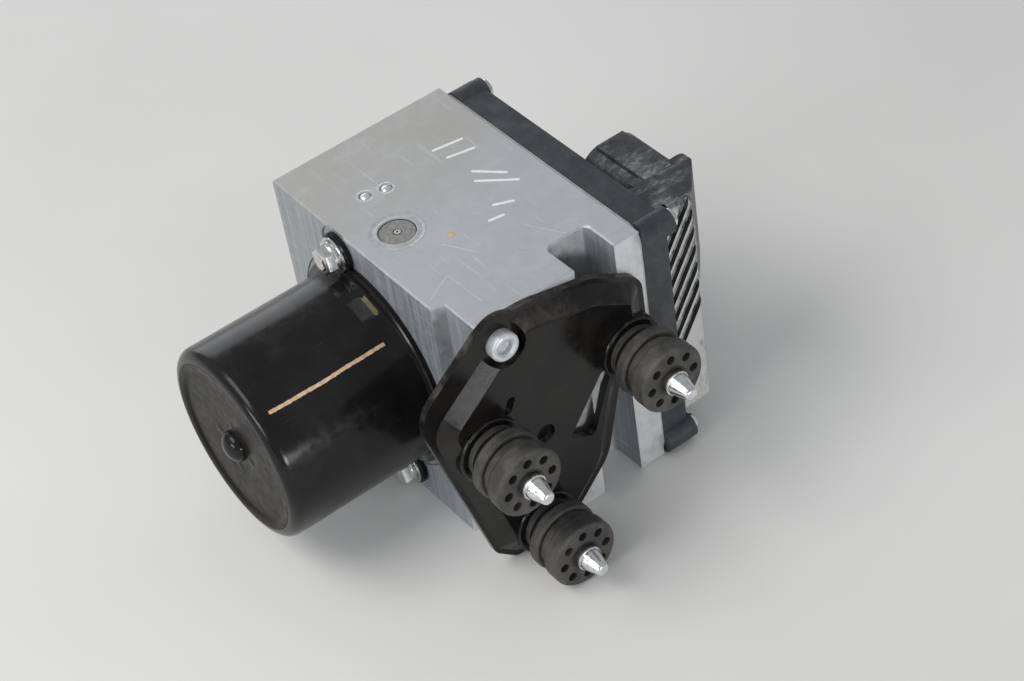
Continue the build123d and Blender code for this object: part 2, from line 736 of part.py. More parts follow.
cover_plane = frame_plane.offset(-frame_t)
cover_x0 = ecu_x0 + boss_r
cover_x1 = bx - tower_side_inset
cover_z0 = ecu_foot + 2 * boss_r + seat_gap
tower_x = port_x + tower_from_ports
tower_z = block_h - 2 * edge_break
socket_x = port_x + socket_from_ports
socket_y = ecu_y + gasket_t + frame_t + seat_gap + socket_w / 2
socket_z = block_h - edge_break - socket_cap_t - socket_h / 2
socket_back = socket_x + socket_len - socket_wall
socket_out = socket_y + socket_w / 2
cover_out = cover_plane.origin.Y + cover_t
post_spots = [(x, z) for x in (cover_x0 + post_inset, cover_x1 - post_inset)
              for z in (cover_z0 + post_inset, cover_low_h - post_inset)]
cover_in = cover_t - cover_wall
rib_rows = [tower_z - rib_from_top - i * rib_pitch for i in range(rib_count)]
with BuildPart() as ecu_cover:
    with BuildSketch(cover_plane):
        with Locations(((cover_x0 + cover_x1) / 2, (cover_z0 + cover_low_h) / 2)):
            RectangleRounded(cover_x1 - cover_x0, cover_low_h - cover_z0, cover_r)
        with Locations(((tower_x + cover_x1) / 2, (cover_z0 + tower_z) / 2)):
            RectangleRounded(cover_x1 - tower_x, tower_z - cover_z0, cover_r)
    extrude(amount=-cover_t)
    outer = ecu_cover.faces().sort_by(Axis.Y)[-1]
    fillet(outer.edges(), cover_edge_r)
    # shoulder that falls from the connector shell to the end of the cover
    with BuildSketch(Plane.XY.offset(socket_z - socket_h / 2)):
        with BuildLine():
            Polyline((tower_x, cover_plane.origin.Y + cover_edge_r), (tower_x, socket_out),
                     (tower_x + shoulder_t, socket_out), (cover_x1 - cover_edge_r, cover_out + cover_edge_r / 2),
                     (cover_x1 - cover_edge_r, cover_plane.origin.Y + cover_edge_r), close=True)
        make_face()
    extrude(amount=tower_z - socket_z + socket_h / 2)
    fillet(ecu_cover.edges().filter_by(Axis.Z).filter_by(lambda e: e.center().Y > cover_out + seat_gap), shoulder_edge_r)
    with BuildSketch(Plane.YZ.offset(socket_x)):
        with Locations((socket_y, socket_z)):
            RectangleRounded(socket_w, socket_h, socket_r)
    extrude(amount=socket_len)
    with BuildSketch(Plane.YZ.offset(socket_x + socket_cap_t)):
        with Locations((socket_y, socket_z + socket_h / 2)):
            Rectangle(socket_cap_w, 2 * socket_cap_t)
    extrude(amount=socket_len)
    with BuildSketch(Plane.YZ.offset(socket_x)):
        with Locations((socket_y, socket_z)):
            RectangleRounded(socket_w - 2 * socket_wall, socket_h - 2 * socket_wall, socket_r - socket_wall)
    extrude(amount=socket_len - socket_wall, mode=Mode.SUBTRACT)
    # hollow over the circuit board, with four board posts
    with BuildSketch(cover_plane):
        with Locations(((cover_x0 + cover_x1) / 2, (cover_z0 + cover_low_h) / 2)):
            Rectangle(cover_x1 - cover_x0 - 2 * cover_wall, cover_low_h - cover_z0 - 2 * cover_wall)
    extrude(amount=-cover_in, mode=Mode.SUBTRACT)
    with BuildSketch(cover_plane.offset(-(board_gap + board_t))):
        with Locations(*post_spots):
            Circle(post_r)
    extrude(amount=-(cover_in - board_gap - board_t))
    # clearance round the frame bosses
    with BuildSketch(cover_plane):
        with Locations(*boss_spots):
            Circle(boss_r + seat_gap)
    extrude(amount=-(boss_proud + screw_head_t + seat_gap), mode=Mode.SUBTRACT)
    # slanted grip grooves in the end wall
    with BuildSketch(Plane.YZ.offset(cover_x1)):
        with Locations(*[(cover_plane.origin.Y + cover_t / 2, z) for z in rib_rows]):
            Rectangle(cover_t / cos(radians(rib_tilt)), rib_w, rotation=rib_tilt)
    extrude(amount=-rib_depth, mode=Mode.SUBTRACT)
ecu_cover.part.label = "ecu_cover"

with BuildPart() as circuit_board:
    with BuildSketch(cover_plane.offset(-board_gap)):
        with Locations(((cover_x0 + cover_x1) / 2, (cover_z0 + cover_low_h) / 2)):
            Rectangle(cover_x1 - cover_x0 - 2 * cover_wall - 2 * coil_gap,
                      cover_low_h - cover_z0 - 2 * cover_wall - 2 * coil_gap)
    extrude(amount=-board_t)
circuit_board.part.label = "circuit_board"

with BuildPart() as connector_pins:
    with BuildSketch(Plane.YZ.offset(socket_back)):
        with Locations((socket_y, socket_z)):
            with GridLocations(pin_pitch, pin_pitch, pin_cols, pin_rows):
                Rectangle(pin_side, pin_side)
    extrude(amount=-pin_len)
connector_pins.part.label = "connector_pins"

# ================================================================ bracket
rim_plane = Plane.YZ.offset(bx)
outline_points = [on_bracket(p) for p in bracket_corners]
pan_points = [on_bracket(p) for p in pan_corners]
window_points = [on_bracket(p) for p in window_corners]
screw_pads = [top_screw, foot_screw]
ears = [left, right, lower]
ear_ring_r = bush_lip_r + ear_margin


def rounded_outline(points, rounds, inset):
    """Outline drawn in from its straight sides, then rounded at each corner."""
    with BuildLine() as sides:
        Polyline(*points, close=True)
    make_face(sides.edges())
    if inset > 0:
        offset(amount=-inset, kind=Kind.INTERSECTION, mode=Mode.REPLACE)
    for corner, radius in zip(points, rounds):
        fillet(vertices().sort_by_distance(corner)[0], max(radius - inset, wall_blend))


def lofted_pan(start, start_inset, end, end_inset, mode):
    """Pan with leaning walls between two depths over the block face."""
    with BuildSketch(rim_plane.offset(start)) as foot:
        rounded_outline(pan_points, pan_rounds, start_inset)
    with BuildSketch(rim_plane.offset(end)) as head:
        rounded_outline(pan_points, pan_rounds, end_inset)
    loft([foot.sketch, head.sketch], ruled=True, mode=mode)


with BuildPart() as bracket:
    # rim lying on the block face
    with BuildSketch(rim_plane):
        rounded_outline(outline_points, bracket_rounds, 0)
    extrude(amount=sheet_t)
    # pressed pan with leaning walls, and the three bush seats
    lofted_pan(sheet_t, rim_w, bracket_out, rim_w + wall_run, Mode.ADD)
    fillet(bracket.faces().sort_by(Axis.X)[-1].edges(), wall_blend)
    with BuildSketch(rim_plane):
        with Locations(*ears):
            Circle(ear_ring_r)
    extrude(amount=ear_out)
    fillet(bracket.faces().sort_by(Axis.X)[-3:].edges(), ear_blend)
    lofted_pan(0, rim_w + sheet_t, bracket_out - sheet_t, rim_w + sheet_t + wall_run, Mode.SUBTRACT)
    with BuildSketch(rim_plane):
        with Locations(*ears):
            Circle(ear_ring_r - sheet_t)
    extrude(amount=ear_out - sheet_t, mode=Mode.SUBTRACT)
    # walls of the sunk screw seats
    with BuildSketch(rim_plane):
        with Locations(*screw_pads):
            Circle(pad_r + sheet_t)
    extrude(amount=sheet_t)
    # sunk screw seats
    with BuildSketch(rim_plane.offset(bracket_out)):
        with Locations(*screw_pads):
            Circle(pad_r)
    extrude(amount=-(bracket_out - sheet_t), mode=Mode.SUBTRACT)
    with BuildSketch(rim_plane):
        with Locations(*screw_pads):
            Circle(m6_clear_r)
    extrude(amount=bracket_out, mode=Mode.SUBTRACT)
    # window, slot and locating hole
    with BuildSketch(rim_plane):
        with BuildLine():
            Polyline(*window_points, close=True)
        make_face()
        fillet(vertices(), window_round)
    extrude(amount=bracket_out, mode=Mode.SUBTRACT)
    with BuildSketch(rim_plane):
        with Locations(on_bracket(slot_at)):
            SlotOverall(slot_len, slot_width, rotation=slot_tilt)
        with Locations(on_bracket(hole_at)):
            Circle(hole_r)
    extrude(amount=bracket_out, mode=Mode.SUBTRACT)
    # stud holes
    with BuildSketch(rim_plane):
        with Locations(left, right, lower):
            Circle(stud_hole_r)
    extrude(amount=ear_out, mode=Mode.SUBTRACT)
bracket.part.label = "bracket"

with BuildPart() as bracket_screws:
    with BuildSketch(rim_plane.offset(sheet_t)):
        with Locations(*screw_pads):
            Circle(m6_head_r)
    extrude(amount=m6_head_t)
    fillet(bracket_screws.faces().group_by(Axis.X)[-1].edges(), m6_head_edge)
    with BuildSketch(rim_plane.offset(sheet_t)):
        with Locations(*screw_pads):
            Circle(m6_r)
    extrude(amount=-(sheet_t + m6_len - seat_gap))
    with BuildSketch(rim_plane.offset(sheet_t + m6_head_t)):
        with Locations(*screw_pads):
            RegularPolygon(m6_socket_r, 6)
    extrude(amount=-m6_head_t / 2, mode=Mode.SUBTRACT)
bracket_screws.part.label = "bracket_screws"

# ================================================================ rubber bushes on their studs
bush_steps = [(0, bush_lip_r), (bush_lip_t, bush_neck_r), (bush_lip_t + bush_neck_t, bush_r),
              (bush_lip_t + bush_neck_t + bush_disc_t, bush_groove_r),
              (bush_lip_t + bush_neck_t + bush_disc_t + bush_groove_t, bush_r)]
bush_ends = [step[0] for step in bush_steps[1:]] + [bush_len]


def draw_bush(at):
    """Stepped rubber bush on one bracket point, bored for its steel sleeve and drilled round it."""
    for (start, radius), end in zip(bush_steps, bush_ends):
        with BuildSketch(Plane.YZ.offset(plate_x + start)) as section:
            with Locations(at):
                Circle(radius)
        extrude(section.sketch, amount=end - start)


def finish_bush(at, made):
    """Round the two discs, then cut the sleeve bore and the ring of holes."""
    rims = made.edges().filter_by(GeomType.CIRCLE).filter_by(lambda e: abs(e.radius - bush_r) < running_gap)
    fillet(rims, bush_round)
    with BuildSketch(Plane.YZ.offset(plate_x + bush_len)) as holes:
        with Locations(at):
            with PolarLocations(bush_hole_pcd_r, bush_holes):
                Circle(bush_hole_r)
    extrude(holes.sketch, amount=-bush_hole_depth, mode=Mode.SUBTRACT)
    with BuildSketch(Plane.YZ.offset(plate_x)) as bore:
        with Locations(at):
            Circle(collar_r + seat_gap)
    extrude(bore.sketch, amount=bush_len, mode=Mode.SUBTRACT)


def draw_stud(at):
    """Steel stud: riveted head behind the plate, sleeve in the rubber, land and tapered nose."""
    for start, length, radius in ((plate_x - sheet_t - stud_head_t, stud_head_t, stud_head_r),
                                  (plate_x - sheet_t, sheet_t, stud_hole_r - seat_gap),
                                  (plate_x, bush_len, collar_r),
                                  (plate_x + bush_len, stud_land, stud_r)):
        with BuildSketch(Plane.YZ.offset(start)) as section:
            with Locations(at):
                Circle(radius)
        extrude(section.sketch, amount=length)
    with BuildSketch(Plane.YZ.offset(plate_x + bush_len + stud_land)) as nose_root:
        with Locations(at):
            Circle(stud_r)
    with BuildSketch(Plane.YZ.offset(plate_x + bush_len + stud_out)) as nose_tip:
        with Locations(at):
            Circle(stud_tip_r)
    loft([nose_root.sketch, nose_tip.sketch])


with BuildPart() as bush_left_part:
    draw_bush(left)
    finish_bush(left, bush_left_part)
bush_left_part.part.label = "bush_left"
with BuildPart() as bush_right_part:
    draw_bush(right)
    finish_bush(right, bush_right_part)
bush_right_part.part.label = "bush_right"
with BuildPart() as bush_lower_part:
    draw_bush(lower)
    finish_bush(lower, bush_lower_part)
bush_lower_part.part.label = "bush_lower"
with BuildPart() as stud_left_part:
    draw_stud(left)
stud_left_part.part.label = "stud_left"
with BuildPart() as stud_right_part:
    draw_stud(right)
stud_right_part.part.label = "stud_right"
with BuildPart() as stud_lower_part:
    draw_stud(lower)
stud_lower_part.part.label = "stud_lower"

# ================================================================ export
os.makedirs("parts", exist_ok=True)
for piece in (valve_block, motor_can, motor_magnets, brush_plate, carbon_brushes, motor_bearings, motor_shaft,
              eccentric_ring, armature, armature_windings, commutator, motor_bolts, motor_leads, pump_plug_upper,
              pump_plug_lower, swage_rings, pump_sleeves, pump_pistons, pump_springs, ball_plugs,
              accumulator_caps, accumulator_pistons, accumulator_springs, valve_cartridges, solenoid_coils,
              ecu_gasket, ecu_frame, ecu_screws, ecu_cover, circuit_board, connector_pins, bracket, bracket_screws,
              bush_left_part, bush_right_part, bush_lower_part, stud_left_part, stud_right_part, stud_lower_part):
    export_step(piece.part, "parts/" + piece.part.label + ".step")
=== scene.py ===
import logging
from dataclasses import dataclass, field
from enum import Enum
from math import atan2, cos, degrees, pi, radians, sin

import bmesh
import bpy
from mathutils import Matrix, Vector


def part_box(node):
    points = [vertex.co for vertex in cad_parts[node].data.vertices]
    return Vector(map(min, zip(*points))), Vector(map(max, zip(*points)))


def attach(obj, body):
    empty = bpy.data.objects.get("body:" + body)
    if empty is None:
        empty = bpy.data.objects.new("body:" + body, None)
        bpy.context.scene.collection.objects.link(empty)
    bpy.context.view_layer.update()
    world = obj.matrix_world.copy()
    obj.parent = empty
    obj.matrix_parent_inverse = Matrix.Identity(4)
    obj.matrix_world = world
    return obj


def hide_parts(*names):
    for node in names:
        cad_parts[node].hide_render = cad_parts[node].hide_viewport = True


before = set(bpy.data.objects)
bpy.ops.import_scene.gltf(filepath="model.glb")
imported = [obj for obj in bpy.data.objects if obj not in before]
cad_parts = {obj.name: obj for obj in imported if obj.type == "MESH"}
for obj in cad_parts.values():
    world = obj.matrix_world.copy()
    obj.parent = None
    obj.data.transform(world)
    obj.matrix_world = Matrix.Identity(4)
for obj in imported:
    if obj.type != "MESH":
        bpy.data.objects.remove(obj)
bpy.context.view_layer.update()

log = logging.getLogger("brake_module")

MM = 0.001  # one millimetre in metres
HALF_WIDTH = 52.3  # half of the block from its port face to its bracket face
HALF_DEPTH = 33.75  # half of the block from its motor face to its control unit face
HEIGHT = 98.7  # height of the block above the ground
BRACKET_FACE = 2 * HALF_WIDTH  # block face that carries the bracket
PLATE_X = 112.0  # foot of the bushes on the bracket
BUSH_LENGTH = 19.0  # length of a bush along its stud

UP = Vector((0, 0, 1))
DOWN = Vector((0, 0, -1))
MOTOR_OUT = Vector((0, -1, 0))  # out from the motor face
BRACKET_OUT = Vector((1, 0, 0))  # out from the bracket face

Rgb = tuple[float, float, float]
Spot = tuple[float, float]


def at(x: float, y: float, z: float) -> Vector:
    """Point in metres from millimetres off the port face, the motor face and the ground."""
    return Vector(((x - HALF_WIDTH) * MM, (y - HALF_DEPTH) * MM, z * MM))


# ---------------------------------------------------------------- node graph helper


class Graph:
    """Small wrapper that adds and joins shader nodes of one material."""

    def __init__(self, name: str) -> None:
        """Starts an empty material with an output and a surface shader.

        Args:
            name: name of the material.
        """
        self.material = bpy.data.materials.new(name)
        self.material.use_nodes = True
        self.tree = self.material.node_tree
        self.tree.nodes.clear()
        self.output = self.tree.nodes.new("ShaderNodeOutputMaterial")
        self.shader = self.tree.nodes.new("ShaderNodeBsdfPrincipled")
        self.tree.links.new(self.shader.outputs[0], self.output.inputs[0])
        self.coords = self.tree.nodes.new("ShaderNodeTexCoord")

    def node(self, kind: str, **settings: object) -> bpy.types.Node:
        """Adds a node and sets its properties.

        Args:
            kind: type name of the node without its ShaderNode prefix.
            settings: property values.

        Returns:
            The new node.
        """
        made = self.tree.nodes.new("ShaderNode" + kind)
        for key, value in settings.items():
            setattr(made, key, value)
        return made

    def join(self, source: bpy.types.NodeSocket, target: bpy.types.NodeSocket) -> None:
        """Joins two sockets."""
        self.tree.links.new(source, target)

    def mapped(self, scale: Rgb, turn: Rgb = (0, 0, 0)) -> bpy.types.NodeSocket:
        """Object coordinates scaled and turned about the origin.

        Args:
            scale: factor along each axis.
            turn: Euler angles in degrees.

        Returns:
            The vector socket.
        """
        mapping = self.node("Mapping")
        mapping.inputs["Scale"].default_value = scale
        mapping.inputs["Rotation"].default_value = [radians(a) for a in turn]
        self.join(self.coords.outputs["Object"], mapping.inputs["Vector"])
        return mapping.outputs[0]

    def noise(self, scale: float, detail: float = 4, rough: float = 0.55, stretch: Rgb = (1, 1, 1),
              turn: Rgb = (0, 0, 0), distort: float = 0) -> bpy.types.NodeSocket:
        """Noise on object coordinates.

        Args:
            scale: cycles per metre.
            detail: octaves.
            rough: share of the finer octaves.
            stretch: factor along each axis.
            turn: Euler angles in degrees.
            distort: warp of the pattern.

        Returns:
            The value socket.
        """
        made = self.node("TexNoise")
        made.inputs["Scale"].default_value = scale
        made.inputs["Detail"].default_value = detail
        made.inputs["Roughness"].default_value = rough
        made.inputs["Distortion"].default_value = distort
        self.join(self.mapped(stretch, turn), made.inputs["Vector"])
        return made.outputs[0]

    def ramp(self, value: bpy.types.NodeSocket, low: float, high: float, start: float = 0.0,
             end: float = 1.0) -> bpy.types.NodeSocket:
        """Maps a value range smoothly onto another and clamps it.

        Args:
            value: input socket.
            low: input that gives start.
            high: input that gives end.
            start: lowest output.
            end: highest output.

        Returns:
            The value socket.
        """
        made = self.node("MapRange", interpolation_type="SMOOTHSTEP")
        self.join(value, made.inputs["Value"])
        for key, number in (("From Min", low), ("From Max", high), ("To Min", start), ("To Max", end)):
            made.inputs[key].default_value = number
        return made.outputs[0]

    def math(self, how: str, a: bpy.types.NodeSocket,
             b: bpy.types.NodeSocket | float) -> bpy.types.NodeSocket:
        """Arithmetic of a socket and a socket or number.

        Args:
            how: operation name.
            a: first operand.
            b: second operand.

        Returns:
            The value socket.
        """
        made = self.node("Math", operation=how)
        self.join(a, made.inputs[0])
        if isinstance(b, (int, float)):
            made.inputs[1].default_value = b
        else:
            self.join(b, made.inputs[1])
        return made.outputs[0]

    def mix(self, share: bpy.types.NodeSocket, a: Rgb | bpy.types.NodeSocket,
            b: Rgb | bpy.types.NodeSocket) -> bpy.types.NodeSocket:
        """Colour mix.

        Args:
            share: share of the second colour.
            a: first colour or socket.
            b: second colour or socket.

        Returns:
            The colour socket.
        """
        made = self.node("Mix", data_type="RGBA")
        self.join(share, made.inputs[0])
        for socket, colour in ((made.inputs[6], a), (made.inputs[7], b)):
            if isinstance(colour, tuple):
                socket.default_value = (*colour, 1)
            else:
                self.join(colour, socket)
        return made.outputs[2]

    def facing(self, direction: Rgb) -> bpy.types.NodeSocket:
        """How far the surface faces a direction, from -1 to 1, in object space.

        Args:
            direction: unit direction.

        Returns:
            The value socket.
        """
        dot = self.node("VectorMath", operation="DOT_PRODUCT")
        self.join(self.coords.outputs["Normal"], dot.inputs[0])
        dot.inputs[1].default_value = direction
        return dot.outputs["Value"]

    def axis(self, index: int) -> bpy.types.NodeSocket:
        """One component of the object coordinates.

        Args:
            index: 0, 1 or 2 for X, Y or Z.

        Returns:
            The value socket in metres.
        """
        parts = self.node("SeparateXYZ")
        self.join(self.coords.outputs["Object"], parts.inputs[0])
        return parts.outputs[index]

    def bump(self, height: bpy.types.NodeSocket, strength: float, distance: float) -> None:
        """Bump on the surface shader.

        Args:
            height: height socket.
            strength: share of the effect.
            distance: height of the relief in metres.
        """
        made = self.node("Bump")
        made.inputs["Strength"].default_value = strength
        made.inputs["Distance"].default_value = distance
        self.join(height, made.inputs["Height"])
        self.join(made.outputs[0], self.shader.inputs["Normal"])

    def set(self, **numbers: float) -> None:
        """Sets constants on the surface shader; underscores stand for spaces."""
        for key, value in numbers.items():
            self.shader.inputs[key.replace("_", " ")].default_value = value


# ---------------------------------------------------------------- finishes

DUST: Rgb = (0.23, 0.205, 0.175)


@dataclass(frozen=True)
class Finish:
    """A finish with two tones, noise, bump and an optional coat of dust."""

    tone: Rgb
    second: Rgb
    metallic: float = 0.0
    rough: float = 0.5
    rough_spread: float = 0.1
    grain: float = 220.0
    stretch: Rgb = (1, 1, 1)
    relief: float = 0.00004
    dust: float = 0.0
    dust_up: float = 0.55
    dust_tone: Rgb = DUST
    specks: float = 0.5
    specular: float = 0.5
    scuffs: float = 0.0

    def build(self, name: str) -> bpy.types.Material:
        """Makes the material.

        Args:
            name: name of the material.

        Returns:
            The finished material.
        """
        g = Graph(name)
        g.set(Metallic=self.metallic, Specular_IOR_Level=self.specular)
        pattern = g.noise(self.grain, 6, 0.6, self.stretch)
        colour = g.mix(g.ramp(pattern, 0.35, 0.68), self.tone, self.second)
        fine = g.noise(self.grain * 5, 3, 0.5, self.stretch)
        spread = self.rough_spread
        rough = g.ramp(fine, 0.3, 0.7, self.rough - spread, self.rough + spread)
        if self.scuffs:
            scratched = g.noise(420, 4, 0.75, (1, 0.08, 1), (20, 0, 50), 0.8)
            marks = g.ramp(scratched, 0.66, 0.72, 0, self.scuffs)
            colour = g.mix(marks, colour, self.dust_tone)
            rough = g.math("ADD", rough, g.math("MULTIPLY", marks, 0.35))
        if self.dust:
            upward = g.ramp(g.facing((0.15, -0.1, 0.98)), 1 - 2 * self.dust_up, 1.0)
            patches = g.ramp(g.noise(95, 7, 0.72), 0.36, 0.72)
            dots = g.ramp(g.noise(1500, 3, 0.7), 0.63, 0.74, 0, self.specks)
            settled = g.math("ADD", g.math("MULTIPLY", patches, upward), dots)
            share = g.ramp(g.math("MULTIPLY", settled, self.dust), 0.0, 1.0)
            colour = g.mix(share, colour, self.dust_tone)
            rough = g.math("ADD", rough, g.math("MULTIPLY", share, 0.6))
        g.join(colour, g.shader.inputs["Base Color"])
        g.join(rough, g.shader.inputs["Roughness"])
        g.bump(fine, 0.5, self.relief)
        return g.material


@dataclass(frozen=True)
class MachinedAluminium:
    """Milled aluminium of the valve block: streaked sides with painted shade, a bracket face painted lighter
    as if lit, and a scuffed, stained top.
    """

    warm: Rgb = (0.50, 0.485, 0.46)
    cool: Rgb = (0.54, 0.555, 0.57)
    # darker side tone: milling streaks together with painted shade on the side faces
    milled_and_shaded: Rgb = (0.30, 0.33, 0.36)
    stain: Rgb = (0.33, 0.30, 0.26)
    scratch: Rgb = (0.74, 0.75, 0.76)
    # painted light: lighter tone for the faces towards the bracket side, as if lit
    lit_face_tone: Rgb = (0.66, 0.67, 0.67)
    pale: Rgb = (0.62, 0.635, 0.65)
    metallic: float = 0.6

    def build(self, name: str) -> bpy.types.Material:
        """Makes the material.

        Args:
            name: name of the material.

        Returns:
            The finished material.
        """
        g = Graph(name)
        g.set(Metallic=self.metallic)
        drift = g.ramp(g.axis(0), -0.045, 0.045)
        clouds = g.math("MULTIPLY", g.noise(42, 6, 0.65, distort=0.4), 0.9)
        colour = g.mix(g.ramp(g.math("ADD", clouds, drift), 0.35, 1.15), self.warm, self.cool)
        pale = g.ramp(g.noise(130, 6, 0.7, (1, 0.5, 1), (0, 0, 33)), 0.45, 0.75, 0, 0.45)
        colour = g.mix(pale, colour, self.pale)
        streaks = g.noise(900, 4, 0.6, (1, 1, 0.012))
        # painted shade with milling streaks: side faces are mixed towards the darker side tone
        side = g.ramp(g.math("ABSOLUTE", g.facing((0, 0, 1)), 0), 0.9, 0.4)
        cut_and_shade = g.math("MULTIPLY", side, g.ramp(streaks, 0.32, 0.66, 0.35, 1))
        colour = g.mix(cut_and_shade, colour, self.milled_and_shaded)
        # painted light: faces towards the bracket side are mixed towards the lighter tone in patches
        bright = g.math("MULTIPLY", g.ramp(g.facing((1, 0, 0)), 0.8, 0.98),
                        g.ramp(g.noise(70, 5, 0.7), 0.3, 0.6, 0.35, 1))
        colour = g.mix(bright, colour, self.lit_face_tone)
        dark_tint = g.ramp(g.noise(210, 7, 0.75, distort=0.6), 0.58, 0.78, 0, 0.5)
        colour = g.mix(dark_tint, colour, self.stain)
        fine = g.noise(2600, 3, 0.6)
        for turn, low in ((37, 0.67), (-52, 0.69), (8, 0.7)):
            hairs = g.noise(560, 2, 0.6, (0.07, 1, 1), (0, 0, turn), 0.15)
            lines = g.ramp(hairs, low, low + 0.05, 0, 0.35)
            colour = g.mix(lines, colour, self.scratch)
        g.join(colour, g.shader.inputs["Base Color"])
        g.join(g.ramp(g.noise(300, 5, 0.7), 0.3, 0.7, 0.38, 0.6), g.shader.inputs["Roughness"])
        g.bump(g.mix(side, fine, streaks), 0.3, 0.00004)
        return g.material


@dataclass(frozen=True)
class DarkRootStud:
    """Bright zinc nose that turns to dark grey where the stud enters its bush."""

    bright_from: float = (PLATE_X + BUSH_LENGTH + 2.4 - HALF_WIDTH) * MM
    dull_zinc: Rgb = (0.66, 0.67, 0.68)
    bright_zinc: Rgb = (0.86, 0.86, 0.85)
    # darker tone for the root of the nose
    dark_tint: Rgb = (0.085, 0.078, 0.07)

    def build(self, name: str) -> bpy.types.Material:
        """Makes the material.

        Args:
            name: name of the material.

        Returns:
            The finished material.
        """
        g = Graph(name)
        g.set(Metallic=1.0)
        wear = g.noise(520, 5, 0.7)
        bright = g.mix(g.ramp(wear, 0.35, 0.7), self.dull_zinc, self.bright_zinc)
        along = g.math("ADD", g.axis(0), g.math("MULTIPLY", wear, 0.0016))
        # the nose turns darker towards its root, where the stud enters its bush
        root = g.ramp(along, self.bright_from + 0.0012, self.bright_from - 0.0002)
        g.join(g.mix(root, bright, self.dark_tint), g.shader.inputs["Base Color"])
        g.join(g.math("ADD", g.ramp(wear, 0.3, 0.7, 0.14, 0.34), g.math("MULTIPLY", root, 0.4)),
               g.shader.inputs["Roughness"])
        g.bump(wear, 0.4, 0.00001)
        return g.material


@dataclass(frozen=True)
class RibbedPlastic:
    """Moulded plastic with pale dust rubbed onto the proud faces of the ribs."""

    tone: Rgb = (0.020, 0.022, 0.025)
    second: Rgb = (0.042, 0.044, 0.048)
    rubbed: Rgb = (0.46, 0.46, 0.44)
    end_face: float = (BRACKET_FACE - HALF_WIDTH - 1.6) * MM

    def build(self, name: str) -> bpy.types.Material:
        """Makes the material.

        Args:
            name: name of the material.

        Returns:
            The finished material.
        """
        g = Graph(name)
        colour = g.mix(g.ramp(g.noise(240, 6, 0.6), 0.35, 0.7), self.tone, self.second)
        proud = g.ramp(g.axis(0), self.end_face - 0.0009, self.end_face - 0.0003)
        ends = g.math("MULTIPLY", proud, g.ramp(g.facing((1, 0, 0)), 0.4, 0.9))
        smear = g.ramp(g.noise(190, 6, 0.75, (1, 1, 0.35), (33, 0, 0)), 0.3, 0.58)
        sunk = g.ramp(g.noise(260, 6, 0.8, (1, 1, 0.5)), 0.35, 0.6, 0.08, 0.6)
        floor = g.math("MULTIPLY", g.ramp(g.facing((1, 0, 0)), 0.4, 0.9), sunk)
        upward = g.ramp(g.facing((0, 0.1, 0.98)), 0.2, 0.95)
        haze = g.ramp(g.noise(150, 7, 0.78, (1, 0.4, 1)), 0.42, 0.68)
        rub = g.math("ADD", g.math("MULTIPLY", ends, g.math("MULTIPLY", smear, 0.75)),
                     g.math("MULTIPLY", upward, g.math("MULTIPLY", haze, 0.5)))
        rub = g.math("ADD", rub, floor)
        colour = g.mix(g.ramp(rub, 0.0, 1.0), colour, self.rubbed)
        g.join(colour, g.shader.inputs["Base Color"])
        fine = g.noise(1300, 3, 0.5)
        g.join(g.ramp(fine, 0.3, 0.7, 0.42, 0.62), g.shader.inputs["Roughness"])
        g.bump(fine, 0.5, 0.00004)
        return g.material


